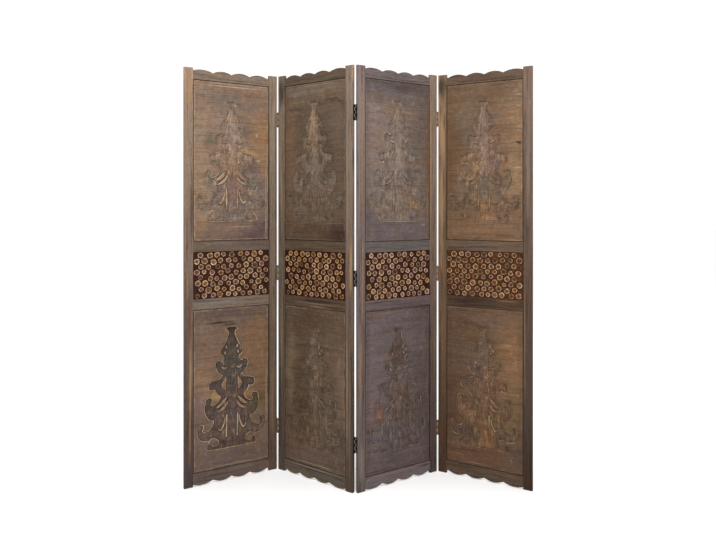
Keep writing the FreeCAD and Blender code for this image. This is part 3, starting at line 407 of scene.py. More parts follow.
# Looks of each board. base is the display tone of its plain wood, and pale that of places pale
# from wear and of painted highlights. A patch is across, up, half width and half height, in
# percent of the board, and a display tone: field has those of the board, and tree those of the
# sunk tree. rims end in an amount instead: how pale the tree's edges are there, partly from wear
# and partly a painted highlight where they catch the light, and rim is the amount elsewhere. halo
# is how much painted soft shadow darkens the board around the tree, sharp how crisply the tree's
# stain ends, border how strong the painted highlight on the rounded edge of the board is, shade
# how much painted shade darkens its sides along the frame, and heart how much ochre its islands
# have. marks are pale, partly spots on the wood and partly painted highlight lines along the
# raised face's edge and the tree's foot, and knots dark, given like the patches on the frames.
BOARD_LOOKS = {
    (1, "upper"): dict(
        base=(151, 124, 104), pale=(216, 188, 156), rim=0.05, halo=0.1, sharp=0.35, border=0.5,
        shade=0.06, heart=0.35,
        field=(
            (5, 55, 16, 40, 165, 137, 114), (93, 62, 12, 26, 166, 130, 96),
            (50, 88, 45, 5, 135, 116, 102), (88, 5, 30, 7, 112, 88, 84),
            (20, 6, 30, 8, 129, 106, 92), (8, 22, 10, 14, 160, 131, 103),
            (70, 55.5, 13, 2.2, 191, 155, 107), (78, 46, 9, 5, 125, 101, 89),
            (64, 70, 7, 6, 128, 110, 94), (26, 62, 8, 4, 126, 115, 96),
            (92, 30, 10, 10, 134, 115, 106),
        ),
        tree=(
            (50, 50, 200, 200, 148, 122, 106), (50, 70, 16, 16, 161, 136, 118),
            (50, 85, 12, 5, 130, 111, 98), (50, 42, 20, 10, 146, 122, 99),
            (50, 20, 40, 12, 130, 113, 101), (80, 38, 10, 7, 128, 115, 102),
            (22, 45, 8, 5, 133, 120, 99), (50, 33, 7, 8, 152, 115, 103),
        ),
        rims=(
            (30, 54, 6, 2, 1.0), (43, 48, 4, 3, 0.7), (60, 52, 5, 4, 0.8), (34, 39, 14, 5, 1.2),
            (66, 39, 8, 5, 0.8), (81, 37, 5, 7, 0.7), (21, 25, 6, 4, 1.0), (44, 27, 4, 7, 1.2),
            (64, 28, 7, 5, 1.0), (34, 24, 4, 2, 0.9), (83, 25, 8, 3, 0.8), (28, 15, 8, 4, 1.2),
            (78, 14, 6, 2, 1.0), (50, 11, 30, 1, 0.5), (50, 70, 12, 10, 0.5),
        ),
        marks=(
            (190, 1636, 150, 1.6, 0.8), (351, 1060, 1.6, 60, 1.0), (351, 1230, 1.6, 130, 0.6),
            (230, 1052, 80, 1.4, 0.5), (310, 1440, 5, 8, 0.6), (316, 1330, 14, 5, 0.6),
        ),
    ),
    (1, "lower"): dict(
        base=(135, 110, 90), pale=(204, 176, 148), rim=0.62, halo=0.16, sharp=1.0, border=0.45,
        shade=0.08, heart=0.6,
        field=(
            (85, 72, 20, 24, 143, 110, 80), (14, 78, 14, 16, 134, 108, 92),
            (13, 55, 12, 10, 161, 124, 93), (28, 44, 9, 3.5, 171, 142, 88),
            (90, 42, 9, 5, 111, 87, 53), (5, 38, 10, 12, 141, 115, 106),
            (50, 6, 60, 8, 119, 98, 89), (10, 18, 20, 10, 128, 105, 92),
            (50, 96, 50, 4, 117, 96, 86), (75, 43, 10, 3, 144, 110, 79),
        ),
        tree=(
            (50, 50, 200, 200, 93, 76, 68), (50, 86, 14, 5, 70, 48, 43),
            (50, 62, 16, 12, 92, 83, 73), (50, 40, 16, 8, 104, 85, 80), (16, 36, 10, 7, 87, 69, 65),
            (50, 20, 70, 10, 113, 92, 78), (84, 34, 10, 7, 97, 85, 59),
            (10, 24, 12, 5, 123, 100, 90), (90, 22, 12, 6, 112, 89, 80),
            (50, 15.5, 30, 3, 96, 78, 69),
        ),
        rims=(
            (92, 28, 14, 12, 0.25), (50, 12, 50, 3, 0.2), (50, 25, 16, 12, 1.2),
            (18, 30, 10, 10, 1.1), (74, 44, 10, 5, 1.1), (62, 76, 6, 10, 0.9), (80, 17, 14, 5, 0.3),
            (24, 14, 10, 3, 0.7),
        ),
        marks=((352, 330, 1.8, 150, 0.8), (200, 64, 140, 1.6, 0.4)),
        knots=((155, 656, 62, 6, 0.9), (190, 646, 40, 4, 0.7)),
    ),
    (2, "upper"): dict(
        base=(116, 95, 77), pale=(168, 146, 124), rim=0.04, halo=0.16, sharp=0.1, border=0.35,
        shade=0.16, heart=0.08,
        field=(
            (8, 58, 14, 30, 127, 100, 79), (50, 96, 50, 3.5, 129, 112, 98),
            (85, 86.5, 16, 1.2, 75, 60, 49), (70, 62, 14, 14, 91, 77, 62),
            (28, 70, 8, 12, 100, 86, 68), (90, 72, 14, 10, 117, 98, 84),
            (50, 7, 60, 5, 100, 78, 62), (92, 3, 16, 6, 71, 49, 39), (15, 20, 16, 8, 113, 93, 73),
            (85, 30, 16, 12, 110, 89, 71),
        ),
        tree=(
            (50, 50, 200, 200, 116, 98, 83), (46, 74, 9, 12, 156, 127, 101),
            (50, 46, 34, 8, 128, 112, 97), (24, 34, 14, 6, 129, 111, 93),
            (50, 18, 60, 7, 112, 94, 77), (76, 32, 12, 6, 124, 104, 91),
        ),
        rims=(
            (80, 25, 8, 4, 0.8), (33, 24, 5, 3, 0.7), (38, 68, 4, 6, 0.5), (56, 27, 3, 8, 0.5),
            (50, 11, 30, 1.5, 0.3),
        ),
        marks=(
            (210, 1640, 140, 1.6, 0.6), (120, 1576, 50, 1.4, 0.5), (300, 1584, 40, 1.4, 0.5),
            (300, 1069, 50, 1.4, 0.5), (150, 1069, 50, 1.4, 0.4),
        ),
    ),
    (2, "lower"): dict(
        base=(107, 87, 69), pale=(190, 168, 146), rim=0.03, halo=0.2, sharp=0.2, border=0.4,
        shade=0.16, heart=0.08,
        field=(
            (10, 62, 7, 26, 132, 113, 92), (50, 90, 40, 8, 98, 77, 58),
            (93, 55, 8, 30, 129, 105, 88), (70, 55, 10, 30, 113, 94, 75),
            (30, 50, 10, 30, 100, 80, 62), (50, 9, 30, 5, 120, 99, 91),
            (12, 22, 16, 10, 119, 90, 70), (86, 20, 14, 8, 100, 83, 69),
        ),
        tree=(
            (50, 50, 200, 200, 103, 84, 67), (50, 50, 7, 30, 120, 98, 79),
            (64, 30, 14, 10, 116, 97, 82), (46, 74, 8, 8, 124, 106, 90),
            (22, 34, 12, 10, 96, 74, 56),
        ),
        rims=(
            (58, 84, 5, 6, 0.7), (58, 70, 5, 5, 1.0), (36, 80, 3, 3, 0.8), (82, 42, 10, 5, 0.8),
            (62, 45, 6, 3, 0.7), (78, 24, 10, 5, 0.9), (28, 26, 6, 3, 0.7), (30, 54, 3, 2, 0.6),
        ),
        marks=((200, 66, 140, 1.8, 0.7), (352, 400, 2, 200, 0.3)),
    ),
    (3, "upper"): dict(
        base=(134, 116, 106), pale=(200, 178, 152), rim=0.06, halo=0.14, sharp=0.2, border=0.15,
        shade=0.2, heart=0.08,
        field=(
            (50, 97, 70, 5, 94, 83, 82), (30, 90, 30, 4, 109, 100, 99),
            (86, 72, 16, 20, 115, 98, 88), (74, 62, 8, 4, 111, 101, 92),
            (10, 60, 10, 24, 141, 122, 117), (40, 60, 22, 20, 146, 127, 113),
            (50, 7, 60, 6, 117, 103, 104), (96, 40, 5, 30, 130, 101, 83),
            (10, 12, 14, 6, 111, 99, 99), (16, 78, 12, 6, 149, 128, 120),
        ),
        tree=(
            (50, 50, 200, 200, 132, 115, 105), (50, 56, 8, 24, 144, 126, 113),
            (80, 20, 18, 7, 144, 116, 93), (22, 20, 18, 7, 136, 118, 102),
        ),
        rims=(
            (36, 64, 5, 8, 0.9), (36, 57, 5, 2, 0.9), (28, 48, 5, 5, 1.0), (60, 42, 6, 5, 0.4),
            (44, 26, 3, 7, 0.9), (80, 24, 10, 3, 0.6), (14, 24, 8, 3, 0.5), (45, 11, 25, 1.5, 0.6),
            (30, 30, 5, 4, 0.7), (62, 62, 4, 5, 0.5), (70, 30, 5, 4, 0.5),
        ),
        marks=(
            (210, 1076, 90, 1.6, 0.6), (330, 1060, 10, 5, 0.4), (350, 1150, 1.6, 120, 0.4),
            (150, 1352, 2.5, 16, 0.9), (170, 1420, 6, 3, 0.8),
        ),
    ),
    (3, "lower"): dict(
        base=(114, 99, 95), pale=(182, 160, 146), rim=0.14, halo=0.28, sharp=0.35, border=0.15,
        shade=0.22, heart=0.08,
        field=(
            (88, 50, 12, 50, 100, 84, 79), (30, 92, 30, 6, 121, 104, 105),
            (12, 66, 12, 20, 124, 107, 108), (50, 5, 60, 6, 106, 91, 90),
            (82, 76, 14, 10, 109, 96, 94), (6, 40, 5, 10, 127, 103, 99),
        ),
        tree=(
            (50, 50, 200, 200, 104, 89, 85), (50, 74, 12, 10, 96, 78, 72),
            (18, 36, 10, 5, 136, 97, 77), (50, 45, 10, 10, 114, 92, 81),
            (70, 36, 12, 5, 100, 84, 74), (20, 22, 16, 6, 111, 99, 100),
        ),
        rims=(
            (34, 66, 8, 16, 0.75), (26, 40, 6, 5, 0.8), (20, 26, 8, 5, 0.8), (64, 74, 5, 5, 0.6),
            (84, 42, 8, 4, 0.45), (70, 24, 5, 3, 0.5), (22, 14, 10, 3, 0.35), (66, 62, 5, 6, 0.6),
            (56, 84, 6, 3, 0.6), (30, 52, 5, 5, 0.6),
        ),
        marks=((120, 220, 2.5, 20, 0.6), (350, 420, 1.6, 160, 0.3)),
    ),
    (4, "upper"): dict(
        base=(128, 100, 76), pale=(206, 170, 128), rim=0.04, halo=0.18, sharp=0.2, border=0.2,
        shade=0.12, heart=0.08,
        field=(
            (92, 78, 20, 18, 160, 128, 96), (92, 40, 15, 16, 165, 131, 97),
            (22, 72, 12, 12, 121, 102, 85), (8, 50, 10, 40, 117, 88, 61),
            (66, 72, 16, 20, 134, 106, 84), (50, 6, 60, 5, 140, 108, 82),
            (80, 24.5, 12, 2, 106, 83, 72), (96, 93, 10, 2, 161, 136, 109),
            (16, 30, 10, 8, 127, 102, 81), (50, 92, 40, 5, 116, 92, 71),
        ),
        tree=(
            (50, 50, 200, 200, 126, 101, 80), (48, 60, 12, 28, 140, 116, 102),
            (54, 48, 14, 10, 134, 109, 101), (36, 45, 10, 10, 149, 118, 86),
            (18, 20, 20, 8, 106, 87, 70), (82, 20, 18, 6, 125, 96, 76),
            (50, 20, 12, 10, 148, 110, 77), (50, 33, 14, 5, 120, 106, 88),
        ),
        rims=(
            (36, 60, 5, 5, 0.6), (36, 46, 10, 6, 0.8), (20, 38, 6, 3, 0.7), (62, 66, 6, 5, 0.5),
            (80, 38, 5, 8, 0.6), (50, 20, 14, 10, 0.5), (62, 54, 5, 5, 0.7), (34, 28, 5, 6, 0.6),
            (28, 42, 5, 4, 0.8),
        ),
        marks=(
            (346, 1592, 13, 3, 0.6), (346, 1546, 13, 3, 0.5), (342, 1296, 16, 4, 0.5),
            (320, 1001, 50, 1.8, 0.6), (210, 1069, 60, 1.4, 0.3),
        ),
        knots=((347, 1398, 17, 4, 1.0), (350, 1391, 12, 5, 0.6)),
    ),
    (4, "lower"): dict(
        base=(118, 92, 68), pale=(204, 170, 130), rim=0.1, halo=0.2, sharp=0.3, border=0.15,
        shade=0.16, heart=0.08,
        field=(
            (15, 72, 14, 22, 112, 87, 72), (88, 70, 18, 28, 147, 111, 79),
            (8, 40, 12, 20, 106, 77, 56), (50, 7, 60, 6, 114, 82, 64),
            (86, 34, 12, 10, 125, 100, 68), (20, 90, 20, 6, 106, 77, 57),
            (90, 14, 14, 6, 102, 81, 67), (50, 93, 30, 4, 121, 95, 78),
        ),
        tree=(
            (50, 50, 200, 200, 116, 91, 67), (50, 68, 7, 16, 120, 99, 85),
            (36, 60, 10, 10, 104, 86, 78), (62, 48, 12, 10, 123, 89, 67),
            (30, 30, 12, 8, 134, 100, 72), (20, 19, 16, 5, 96, 77, 66), (80, 19, 16, 5, 94, 76, 59),
            (54, 22, 10, 8, 138, 99, 67),
        ),
        rims=(
            (28, 52, 8, 4, 0.85), (20, 44, 8, 3, 0.8), (68, 80, 6, 10, 0.6), (72, 52, 6, 3, 0.6),
            (18, 23, 4, 2, 1.0), (66, 24, 6, 6, 0.6), (84, 32, 4, 5, 0.6), (28, 12, 3, 2, 0.5),
            (34, 66, 5, 10, 0.7), (60, 36, 3, 8, 0.8), (82, 22, 8, 3, 0.7),
        ),
        marks=((160, 66, 70, 1.6, 0.4), (300, 570, 26, 6, 0.3)),
    ),
}


def spread_patches(patches, across, up, start, seed):
    """Return a value at each point: the start value, changed towards each patch's in turn.

    across and up are shares of the board. A patch's place and size are in percent.
    """
    ragged = 0.030 * np.sin(19 * up + 7 * across + seed) + 0.018 * np.sin(47 * up - 11 * across)
    lifted = 0.018 * np.sin(17 * across + 9 * up + seed) + 0.010 * np.sin(43 * across + 13 * up)
    value = np.tile(np.array(start, float), (len(across), 1))
    for numbers in patches:
        a, b, width, height = (number / 100 for number in numbers[:4])
        spread = ((across + ragged - a) / width) ** 2 + ((up + lifted - b) / height) ** 2
        weight = 1 / (1 + spread**1.6)
        value += weight[:, None] * (np.array(numbers[4:], float) - value)
    return value


def board_attributes(panel, kind, x, z, low, high):
    """Return the stain factors of a board and of its tree, and how pale the tree's edges are."""
    look = BOARD_LOOKS[panel, kind]
    across, up = (x - INNER_LEFT) / (INNER_RIGHT - INNER_LEFT), (z - low) / (high - low)
    base = linear_tones(np.array([look["base"]], float))
    stains = [
        linear_tones(spread_patches(look[part], across, up, look["base"], panel)) / base
        for part in ("field", "tree")
    ]
    rims = spread_patches(look["rims"], across, up, [look["rim"]], panel)
    return {"stain": stains[0], "tree_stain": stains[1], "rim": rims[:, 0]}


def make_board(panel, kind, template):
    """Make a carved board on its panel."""
    low, high = BOARDS[kind]
    points, faces, gaps, isles = template
    first, last = BOARDS["lower"]
    x = points[:, 0].copy()
    z = low + (points[:, 1] - first) * (high - low) / (last - first)
    seed = panel * 2 + (kind == "upper")
    calm = smooth_step(border_gap(x, z, low, high), 7, 20)
    x += calm * (
        1.1 * np.sin(z / 71 + seed * 1.7) + 0.45 * np.sin(z / 17 + seed * 2.9)
        + 0.16 * np.sin(z / 4.6 + x / 7.3 + seed)
    )
    z += calm * (
        0.9 * np.sin(x / 53 + seed * 2.3) + 0.4 * np.sin(x / 14 + seed * 0.7)
        + 0.16 * np.sin(x / 4.1 - z / 6.7 + seed)
    )
    gouge = np.sin(x / 2.9 + 2.2 * np.sin(z / 23 + seed)) * np.sin(z / 8.5 + 1.7 * np.sin(x / 13))
    depth = border_profile(border_gap(x, z, low, high)) + carve_profile(gaps)
    depth += 0.17 * gouge * smooth_step(-gaps, 1.5, 4.0)
    depth += 0.1 * np.sin(x / 31 + z / 47 + seed) * calm * (gaps > 1.2)
    x += PANEL_WIDTH / 2
    vertices = np.stack((x, depth, z), axis=1)
    attributes = {
        "tree_gap": np.clip(gaps, -15, 15),
        "island": isles.astype(float),
        "edge_gap": np.clip(border_gap(x - PANEL_WIDTH / 2, z, low, high), -8, 30),
        **board_attributes(panel, kind, x, z, low, high),
    }
    item = mesh_object(f"carved_{kind}_board_{panel}", vertices, faces, panel, attributes)
    close_back(item, TONGUE_BACK, BOARD_CREASE)
    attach(item, f"panel_{panel}")
    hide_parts(f"{kind}_board_{panel}")
    return item


# Log slices

SLICE_FACE = 1.7
SLICE_FOOT = TONGUE_FRONT + 0.05
SLICE_SEGMENTS = 26
# Rings of a slice from the pith out, as share of its radius and depth below its face
SLICE_RINGS = (
    (0.14, 0.42), (0.30, 0.30), (0.46, 0.22), (0.60, 0.06), (0.76, 0.0), (0.88, 0.02),
    (0.955, 0.14), (1.0, 0.42),
)
# What the slices' places and sizes are drawn from, as in the part
ROW_TURN = 5.13
COLUMN_TURN = 3.71
PANEL_TURN = 1.97
ACROSS_TURN = 1.0
UP_TURN = 2.33
SIZE_TURN = 4.57
SPREAD = 997
SETTLING_ROUNDS = 80
SLICE_ROWS = 8
SLICE_COLUMNS = 10
SLICE_LEAST = 11
SLICE_MOST = 15.5
SLICE_GAP = 0.8
SLICE_WANDER = 6
# Waves around a slice's outline and how far they bend it at most, as share of its radius
SLICE_BENDS = ((2, 0.045), (3, 0.03), (5, 0.018))
# Size of a bent slice as share of the round one that it replaces
SLICE_FIT = 0.985


def slice_share(row, column, panel, turn):
    """Return a number from zero to one that looks random from slice to slice."""
    angle = row * ROW_TURN + column * COLUMN_TURN + panel * PANEL_TURN
    return math.sin(angle * turn) * SPREAD % 1


def push_apart(one, other):
    """Move two slices that lie too close, half the way each."""
    apart = math.dist(one[:2], other[:2])
    overlap = max(one[2] + other[2] + SLICE_GAP - apart, 0)
    for axis in range(2):
        step = (one[axis] - other[axis]) / apart * overlap / 2
        one[axis] += step
        other[axis] -= step


def slice_places(panel):
    """Return centre and radius of every log slice in a panel's band, as in the part."""
    left, right, (low, high) = INNER_LEFT, INNER_RIGHT, BAND
    across, up = (right - left) / SLICE_COLUMNS, (high - low) / SLICE_ROWS
    slices = []
    for row in range(SLICE_ROWS):
        staggered = row % 2
        for column in range(SLICE_COLUMNS - staggered):
            key = (row, column, panel)
            x = left + (column + (1 + staggered) / 2) * across
            z = low + (row + 1 / 2) * up
            x += SLICE_WANDER * (2 * slice_share(*key, ACROSS_TURN) - 1)
            z += SLICE_WANDER * (2 * slice_share(*key, UP_TURN) - 1)
            radius = SLICE_LEAST + (SLICE_MOST - SLICE_LEAST) * slice_share(*key, SIZE_TURN)
            slices.append([x, z, radius])
    for _ in range(SETTLING_ROUNDS):
        for number, one in enumerate(slices):
            for other in slices[:number]:
                push_apart(one, other)
            for axis, (first, last) in enumerate(((left, right), (low, high))):
                reach = one[2] + SLICE_GAP
                one[axis] = min(max(one[axis], first + reach), last - reach)
    places = []
    for x, z, radius in slices:
        room = [edge - SLICE_GAP for edge in (x - left, right - x, z - low, high - z)]
        room += [
            (math.dist((x, z), (a, b)) - SLICE_GAP) * radius / (radius + beside)
            for a, b, beside in slices
            if (a, b) != (x, z)
        ]
        places.append((x, z, min(radius, *room)))
    return places


def make_slices(panel):
    """Make the irregular log slices of a band."""
    vertices, faces, discs, tones = [], [], [], []
    for number, (x, z, radius) in enumerate(slice_places(panel)):
        key = (panel, number)
        bends = [
            (waves, most * uneven(*key, waves), 6 * uneven(*key, 7 + step))
            for step, (waves, most) in enumerate(SLICE_BENDS)
        ]
        lean = (0.5 * uneven(*key, 11), 0.5 * uneven(*key, 13))
        lift = 0.3 * uneven(*key, 17)
        pith = (0.16 * uneven(*key, 19), 0.16 * uneven(*key, 23))
        tone = (slice_share(*key, 1, UP_TURN), slice_share(*key, 2, ACROSS_TURN))
        first = len(vertices)

        def place(share, sink, angle):
            bend = 1
            for waves, most, turn in bends:
                bend += most * math.cos(waves * angle + turn)
            away = radius * share * (SLICE_FIT * bend)
            u, v = away * math.cos(angle), away * math.sin(angle)
            off = (1 - share) ** 2
            u += pith[0] * radius * off
            v += pith[1] * radius * off
            tilt = (lean[0] * u + lean[1] * v) / radius
            deep = SLICE_FACE + 0.1 + sink + lift * 0.5 + tilt * 0.5
            return (x + u, deep, z + v), (u / radius, v / radius)

        point, disc = place(0, 0.5, 0)
        vertices.append(point)
        discs.append((0.0, disc[0], disc[1]))
        for share, sink in SLICE_RINGS:
            for step in range(SLICE_SEGMENTS):
                angle = 2 * math.pi * step / SLICE_SEGMENTS
                point, disc = place(share, sink, angle)
                vertices.append(point)
                discs.append((share, disc[0], disc[1]))
        for step in range(SLICE_SEGMENTS):
            angle = 2 * math.pi * step / SLICE_SEGMENTS
            point, disc = place(1, 0, angle)
            vertices.append((point[0], SLICE_FOOT, point[2]))
            discs.append((1.1, disc[0], disc[1]))
        rings = len(SLICE_RINGS) + 1
        for step in range(SLICE_SEGMENTS):
            following = (step + 1) % SLICE_SEGMENTS
            faces.append((first, first + 1 + step, first + 1 + following))
            for ring in range(rings - 1):
                inner = first + 1 + ring * SLICE_SEGMENTS
                outer = inner + SLICE_SEGMENTS
                faces.append((inner + step, outer + step, outer + following, inner + following))
        last = first + 1 + (rings - 1) * SLICE_SEGMENTS
        faces.append(tuple(last + step for step in range(SLICE_SEGMENTS)))
        tones += [(tone[0], tone[1], number)] * (len(vertices) - first)
    item = mesh_object(
        f"slices_{panel}", np.array(vertices), faces, panel,
        {"disc": np.array(discs), "tone": np.array(tones)},
    )
    solid = bmesh.new()
    solid.from_mesh(item.data)
    keep_solid(item, solid, SLICE_CREASE)
    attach(item, f"panel_{panel}")
    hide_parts(f"log_slices_{panel}")
    return item


# Materials

class Shader:
    """Builds the node tree of a material, one call per node."""

    def __init__(self, name):
        self.material = bpy.data.materials.new(name)
        self.material.use_nodes = True
        self.tree = self.material.node_tree
        self.tree.nodes.clear()

    def node(self, kind, inputs, output=0, **settings):
        item = self.tree.nodes.new("ShaderNode" + kind)
        for key, value in settings.items():
            setattr(item, key, value)
        for key, value in inputs.items():
            if isinstance(value, bpy.types.NodeSocket):
                self.tree.links.new(value, item.inputs[key])
            else:
                item.inputs[key].default_value = value
        return item.outputs[output] if item.outputs else None

    def math(self, operation, a, b=0.0, c=0.0):
        return self.node("Math", {0: a, 1: b, 2: c}, operation=operation)

    def add(self, a, b):
        return self.math("ADD", a, b)

    def mul(self, value, *factors):
        """Multiply a value by one or more factors."""
        for factor in factors:
            value = self.math("MULTIPLY", value, factor)
        return value

    def swing(self, noise, size):
        """Turn noise around one half into a value around zero."""
        return self.mul(self.add(noise, -0.5), size)

    def span(self, value, low, high, first=0.0, last=1.0, smooth=True):
        """Map a value's span to another, and hold it at the ends."""
        kind = "SMOOTHSTEP" if smooth else "LINEAR"
        inputs = {0: value, 1: low, 2: high, 3: first, 4: last}
        return self.node("MapRange", inputs, interpolation_type=kind)

    def mix(self, share, a, b):
        """Mix two colours."""
        return self.node("Mix", {0: share, 6: a, 7: b}, output=2, data_type="RGBA")

    def lay(self, colour, tone, value, low, high, most=1.0):
        """Lay a tone over a colour, more of it as the value goes from low to high."""
        return self.mix(self.span(value, low, high, 0.0, most), colour, tone)

    def shade(self, colour, factor):
        """Make a colour lighter or darker by a factor."""
        vector = colour[:3] if isinstance(colour, tuple) else colour
        return self.node("VectorMath", {0: vector, "Scale": factor}, operation="SCALE")

    def vary(self, colour, value, low, high, first, last):
        """Shade a colour by a factor that follows a value evenly."""
        return self.shade(colour, self.span(value, low, high, first, last, smooth=False))

    def tint(self, colour, factors):
        """Multiply a colour by another, part by part."""
        inputs = [part[:3] if isinstance(part, tuple) else part for part in (colour, factors)]
        return self.node("VectorMath", {0: inputs[0], 1: inputs[1]}, operation="MULTIPLY")

    def attribute(self, name, output="Fac"):
        return self.node("Attribute", {}, output=output, attribute_name=name)

    def scaled(self, vector, factors, offset=(0, 0, 0)):
        return self.node("Mapping", {0: vector, 1: offset, 3: factors})

    def noise(self, vector, scale=1.0, detail=2.0, rough=0.5, bend=0.0, offset=(0, 0, 0)):
        """Return noise, with one scale or with one for each direction."""
        if isinstance(scale, tuple):
            vector, scale = self.scaled(vector, scale, offset), 1.0
        inputs = {"Vector": vector, "Scale": scale, "Detail": detail, "Roughness": rough,
                  "Distortion": bend}
        return self.node("TexNoise", inputs)

    def join(self, x, y, z):
        return self.node("CombineXYZ", {0: x, 1: y, 2: z})

    def split(self, vector):
        item = self.tree.nodes.new("ShaderNodeSeparateXYZ")
        self.tree.links.new(vector, item.inputs[0])
        return item.outputs

    def place(self, panel):
        """Return the position in the panel's frame, in metres."""
        coordinates = self.node("TexCoord", {}, output="Object")
        if panel is None:
            return coordinates
        start = PANEL_MATRICES[panel].translation
        centred = self.node("VectorMath", {0: coordinates, 1: start}, operation="SUBTRACT")
        angle = math.radians(-HEADINGS[panel])
        inputs = {"Vector": centred, "Angle": angle}
        return self.node("VectorRotate", inputs, rotation_type="Z_AXIS")

    def turned(self, radius):
        """Return how far edges turn the surface within a radius: one means not at all."""
        normal = self.node("Bevel", {"Radius": radius}, samples=6)
        true = self.node("NewGeometry", {}, output="Normal")
        inputs = {0: normal, 1: true}
        return self.node("VectorMath", inputs, output="Value", operation="DOT_PRODUCT")

    def finish(self, colour, roughness, height=None, relief=0.0004, specular=0.12, metallic=0.0,
               rounding=0.0):
        """Make the surface, with a relief and a rounding of its edges in metres."""
        inputs = {"Base Color": colour, "Roughness": roughness, "Specular IOR Level": specular,
                  "Metallic": metallic}
        if rounding:
            inputs["Normal"] = self.node("Bevel", {"Radius": rounding}, samples=4)
        if height is not None:
            bump = {"Height": height, "Distance": relief, "Strength": 1.0}
            if rounding:
                bump["Normal"] = inputs["Normal"]
            inputs["Normal"] = self.node("Bump", bump)
        surface = self.node("BsdfPrincipled", inputs)
        self.node("OutputMaterial", {0: surface})
        return self.material


# Light in the studio on a surface that faces the camera, which a display tone is divided by
STUDIO_LIGHT = 2.1


def seen(red, green, blue, light=STUDIO_LIGHT):
    """Return the colour of a surface that has these display values in a light."""
    tones = linear_tones(np.array([red, green, blue], float)) / light
    return (*(float(tone) for tone in tones), 1.0)


def toned(tone, *factors):
    """Return the seen colour of a tone whose display values are changed by factors."""
    return seen(*(value * factor for value, factor in zip(tone, factors)))


def wood_tones(tone):
    """Return base, warm, cool and dark colour of a wood from its display tone."""
    return (
        seen(*tone), toned(tone, 1.06, 1.01, 0.95), toned(tone, 0.96, 0.98, 1.00),
        toned(tone, 0.62, 0.58, 0.56),
    )


TAN = seen(184, 142, 100)
# Dark of pores and knots, also used for painted shade in the groove and at the tree's walls
PORE_AND_SHADE = seen(46, 35, 29)
OCHRE = seen(176, 124, 78)

# Tone of each piece of a frame, in display values, at its foot and at its top, or of a rail. A
# stile's darker foot and lighter top are painted light: the light from above falls off towards
# the floor.
FRAME_TONES = {
    "left_stile_1": ((86, 68, 66), (169, 143, 121)),
    "right_stile_1": ((107, 87, 73), (154, 133, 113)),
    "left_stile_2": ((95, 80, 72), (140, 122, 102)),
    "right_stile_2": ((90, 72, 60), (148, 128, 112)),
    "left_stile_3": ((113, 100, 95), (145, 125, 120)),
    "right_stile_3": ((89, 72, 68), (155, 132, 114)),
    "left_stile_4": ((86, 61, 44), (158, 125, 97)), "right_stile_4": ((70, 48, 33), (138, 112, 94)),
    "top_rail_1": ((141, 122, 106),), "upper_mid_rail_1": ((118, 101, 89),),
    "lower_mid_rail_1": ((137, 121, 110),), "bottom_rail_1": ((116, 98, 88),),
    "top_rail_2": ((105, 87, 71),), "upper_mid_rail_2": ((103, 85, 66),),
    "lower_mid_rail_2": ((100, 77, 59),), "bottom_rail_2": ((111, 99, 85),),
    "top_rail_3": ((126, 113, 112),), "upper_mid_rail_3": ((115, 106, 103),),
    "lower_mid_rail_3": ((115, 99, 100),), "bottom_rail_3": ((124, 109, 110),),
    "top_rail_4": ((110, 88, 72),), "upper_mid_rail_4": ((116, 94, 77),),
    "lower_mid_rail_4": ((89, 67, 50),), "bottom_rail_4": ((105, 83, 68),),
}


# How strong the grain is drawn on frames and boards
FRAME_FIGURE = 1.25
BOARD_FIGURE = 0.62
# Height of the grain's relief, in metres
GRAIN_RELIEF = 0.00035


def wood_layers(shader, panel, upright, seed, tones, figure=1.0):
    """Return place, colour, roughness and height of wood with its grain along X or Z."""
    place = shader.place(panel)
    x, y, z = shader.split(place)
    along, across = (z, x) if upright else (x, z)
    grain = shader.join(shader.add(along, seed * 3.7), shader.add(across, seed * 1.3), y)
    sway = shader.noise(grain, (1.8, 8, 8), 3, 0.55)
    bent = shader.add(shader.split(grain)[1], shader.swing(sway, 0.03))
    drawn = shader.join(shader.mul(along, 3.2), shader.mul(bent, 62), seed)
    streaks = shader.noise(drawn, detail=5, rough=0.68)
    drawn = shader.join(shader.mul(along, 6.0), shader.mul(bent, 190), seed + 4.0)
    lines = shader.noise(drawn, detail=3, rough=0.65)
    fibre = shader.noise(grain, (18, 1000, 1000), 3, 0.65)
    pores = shader.span(shader.noise(grain, (95, 1500, 1500), 1), 0.64, 0.72)
    cloud = shader.noise(grain, (7.0, 13, 13), 5, 0.6, bend=0.4)
    wash = shader.noise(grain, (6.0, 24, 24), 5, 0.62, offset=(7, 3, 1))
    speckle = shader.noise(grain, (55, 240, 240), 3, 0.7)

    base, warm, cool, dark = tones
    colour = shader.lay(base, warm, cloud, 0.44, 0.66, 0.9)
    colour = shader.lay(colour, cool, wash, 0.46, 0.66, 0.9)
    colour = shader.vary(colour, wash, 0.3, 0.7, 0.84, 1.16)
    colour = shader.lay(colour, dark, streaks, 0.51, 0.72, 0.7 * figure)
    colour = shader.lay(colour, TAN, streaks, 0.43, 0.28, 0.4 * figure)
    colour = shader.lay(colour, dark, lines, 0.50, 0.70, 0.6 * figure)
    colour = shader.vary(colour, fibre, 0.3, 0.7, 1.14, 0.86)
    colour = shader.vary(colour, speckle, 0.35, 0.65, 1.18, 0.82)
    colour = shader.mix(shader.mul(pores, 0.5), colour, PORE_AND_SHADE)
    roughness = shader.span(fibre, 0.3, 0.7, 0.52, 0.68)
    height = shader.add(shader.mul(fibre, 0.45), shader.mul(pores, -0.5))
    height = shader.add(height, shader.mul(lines, 0.35))
    return place, colour, roughness, height
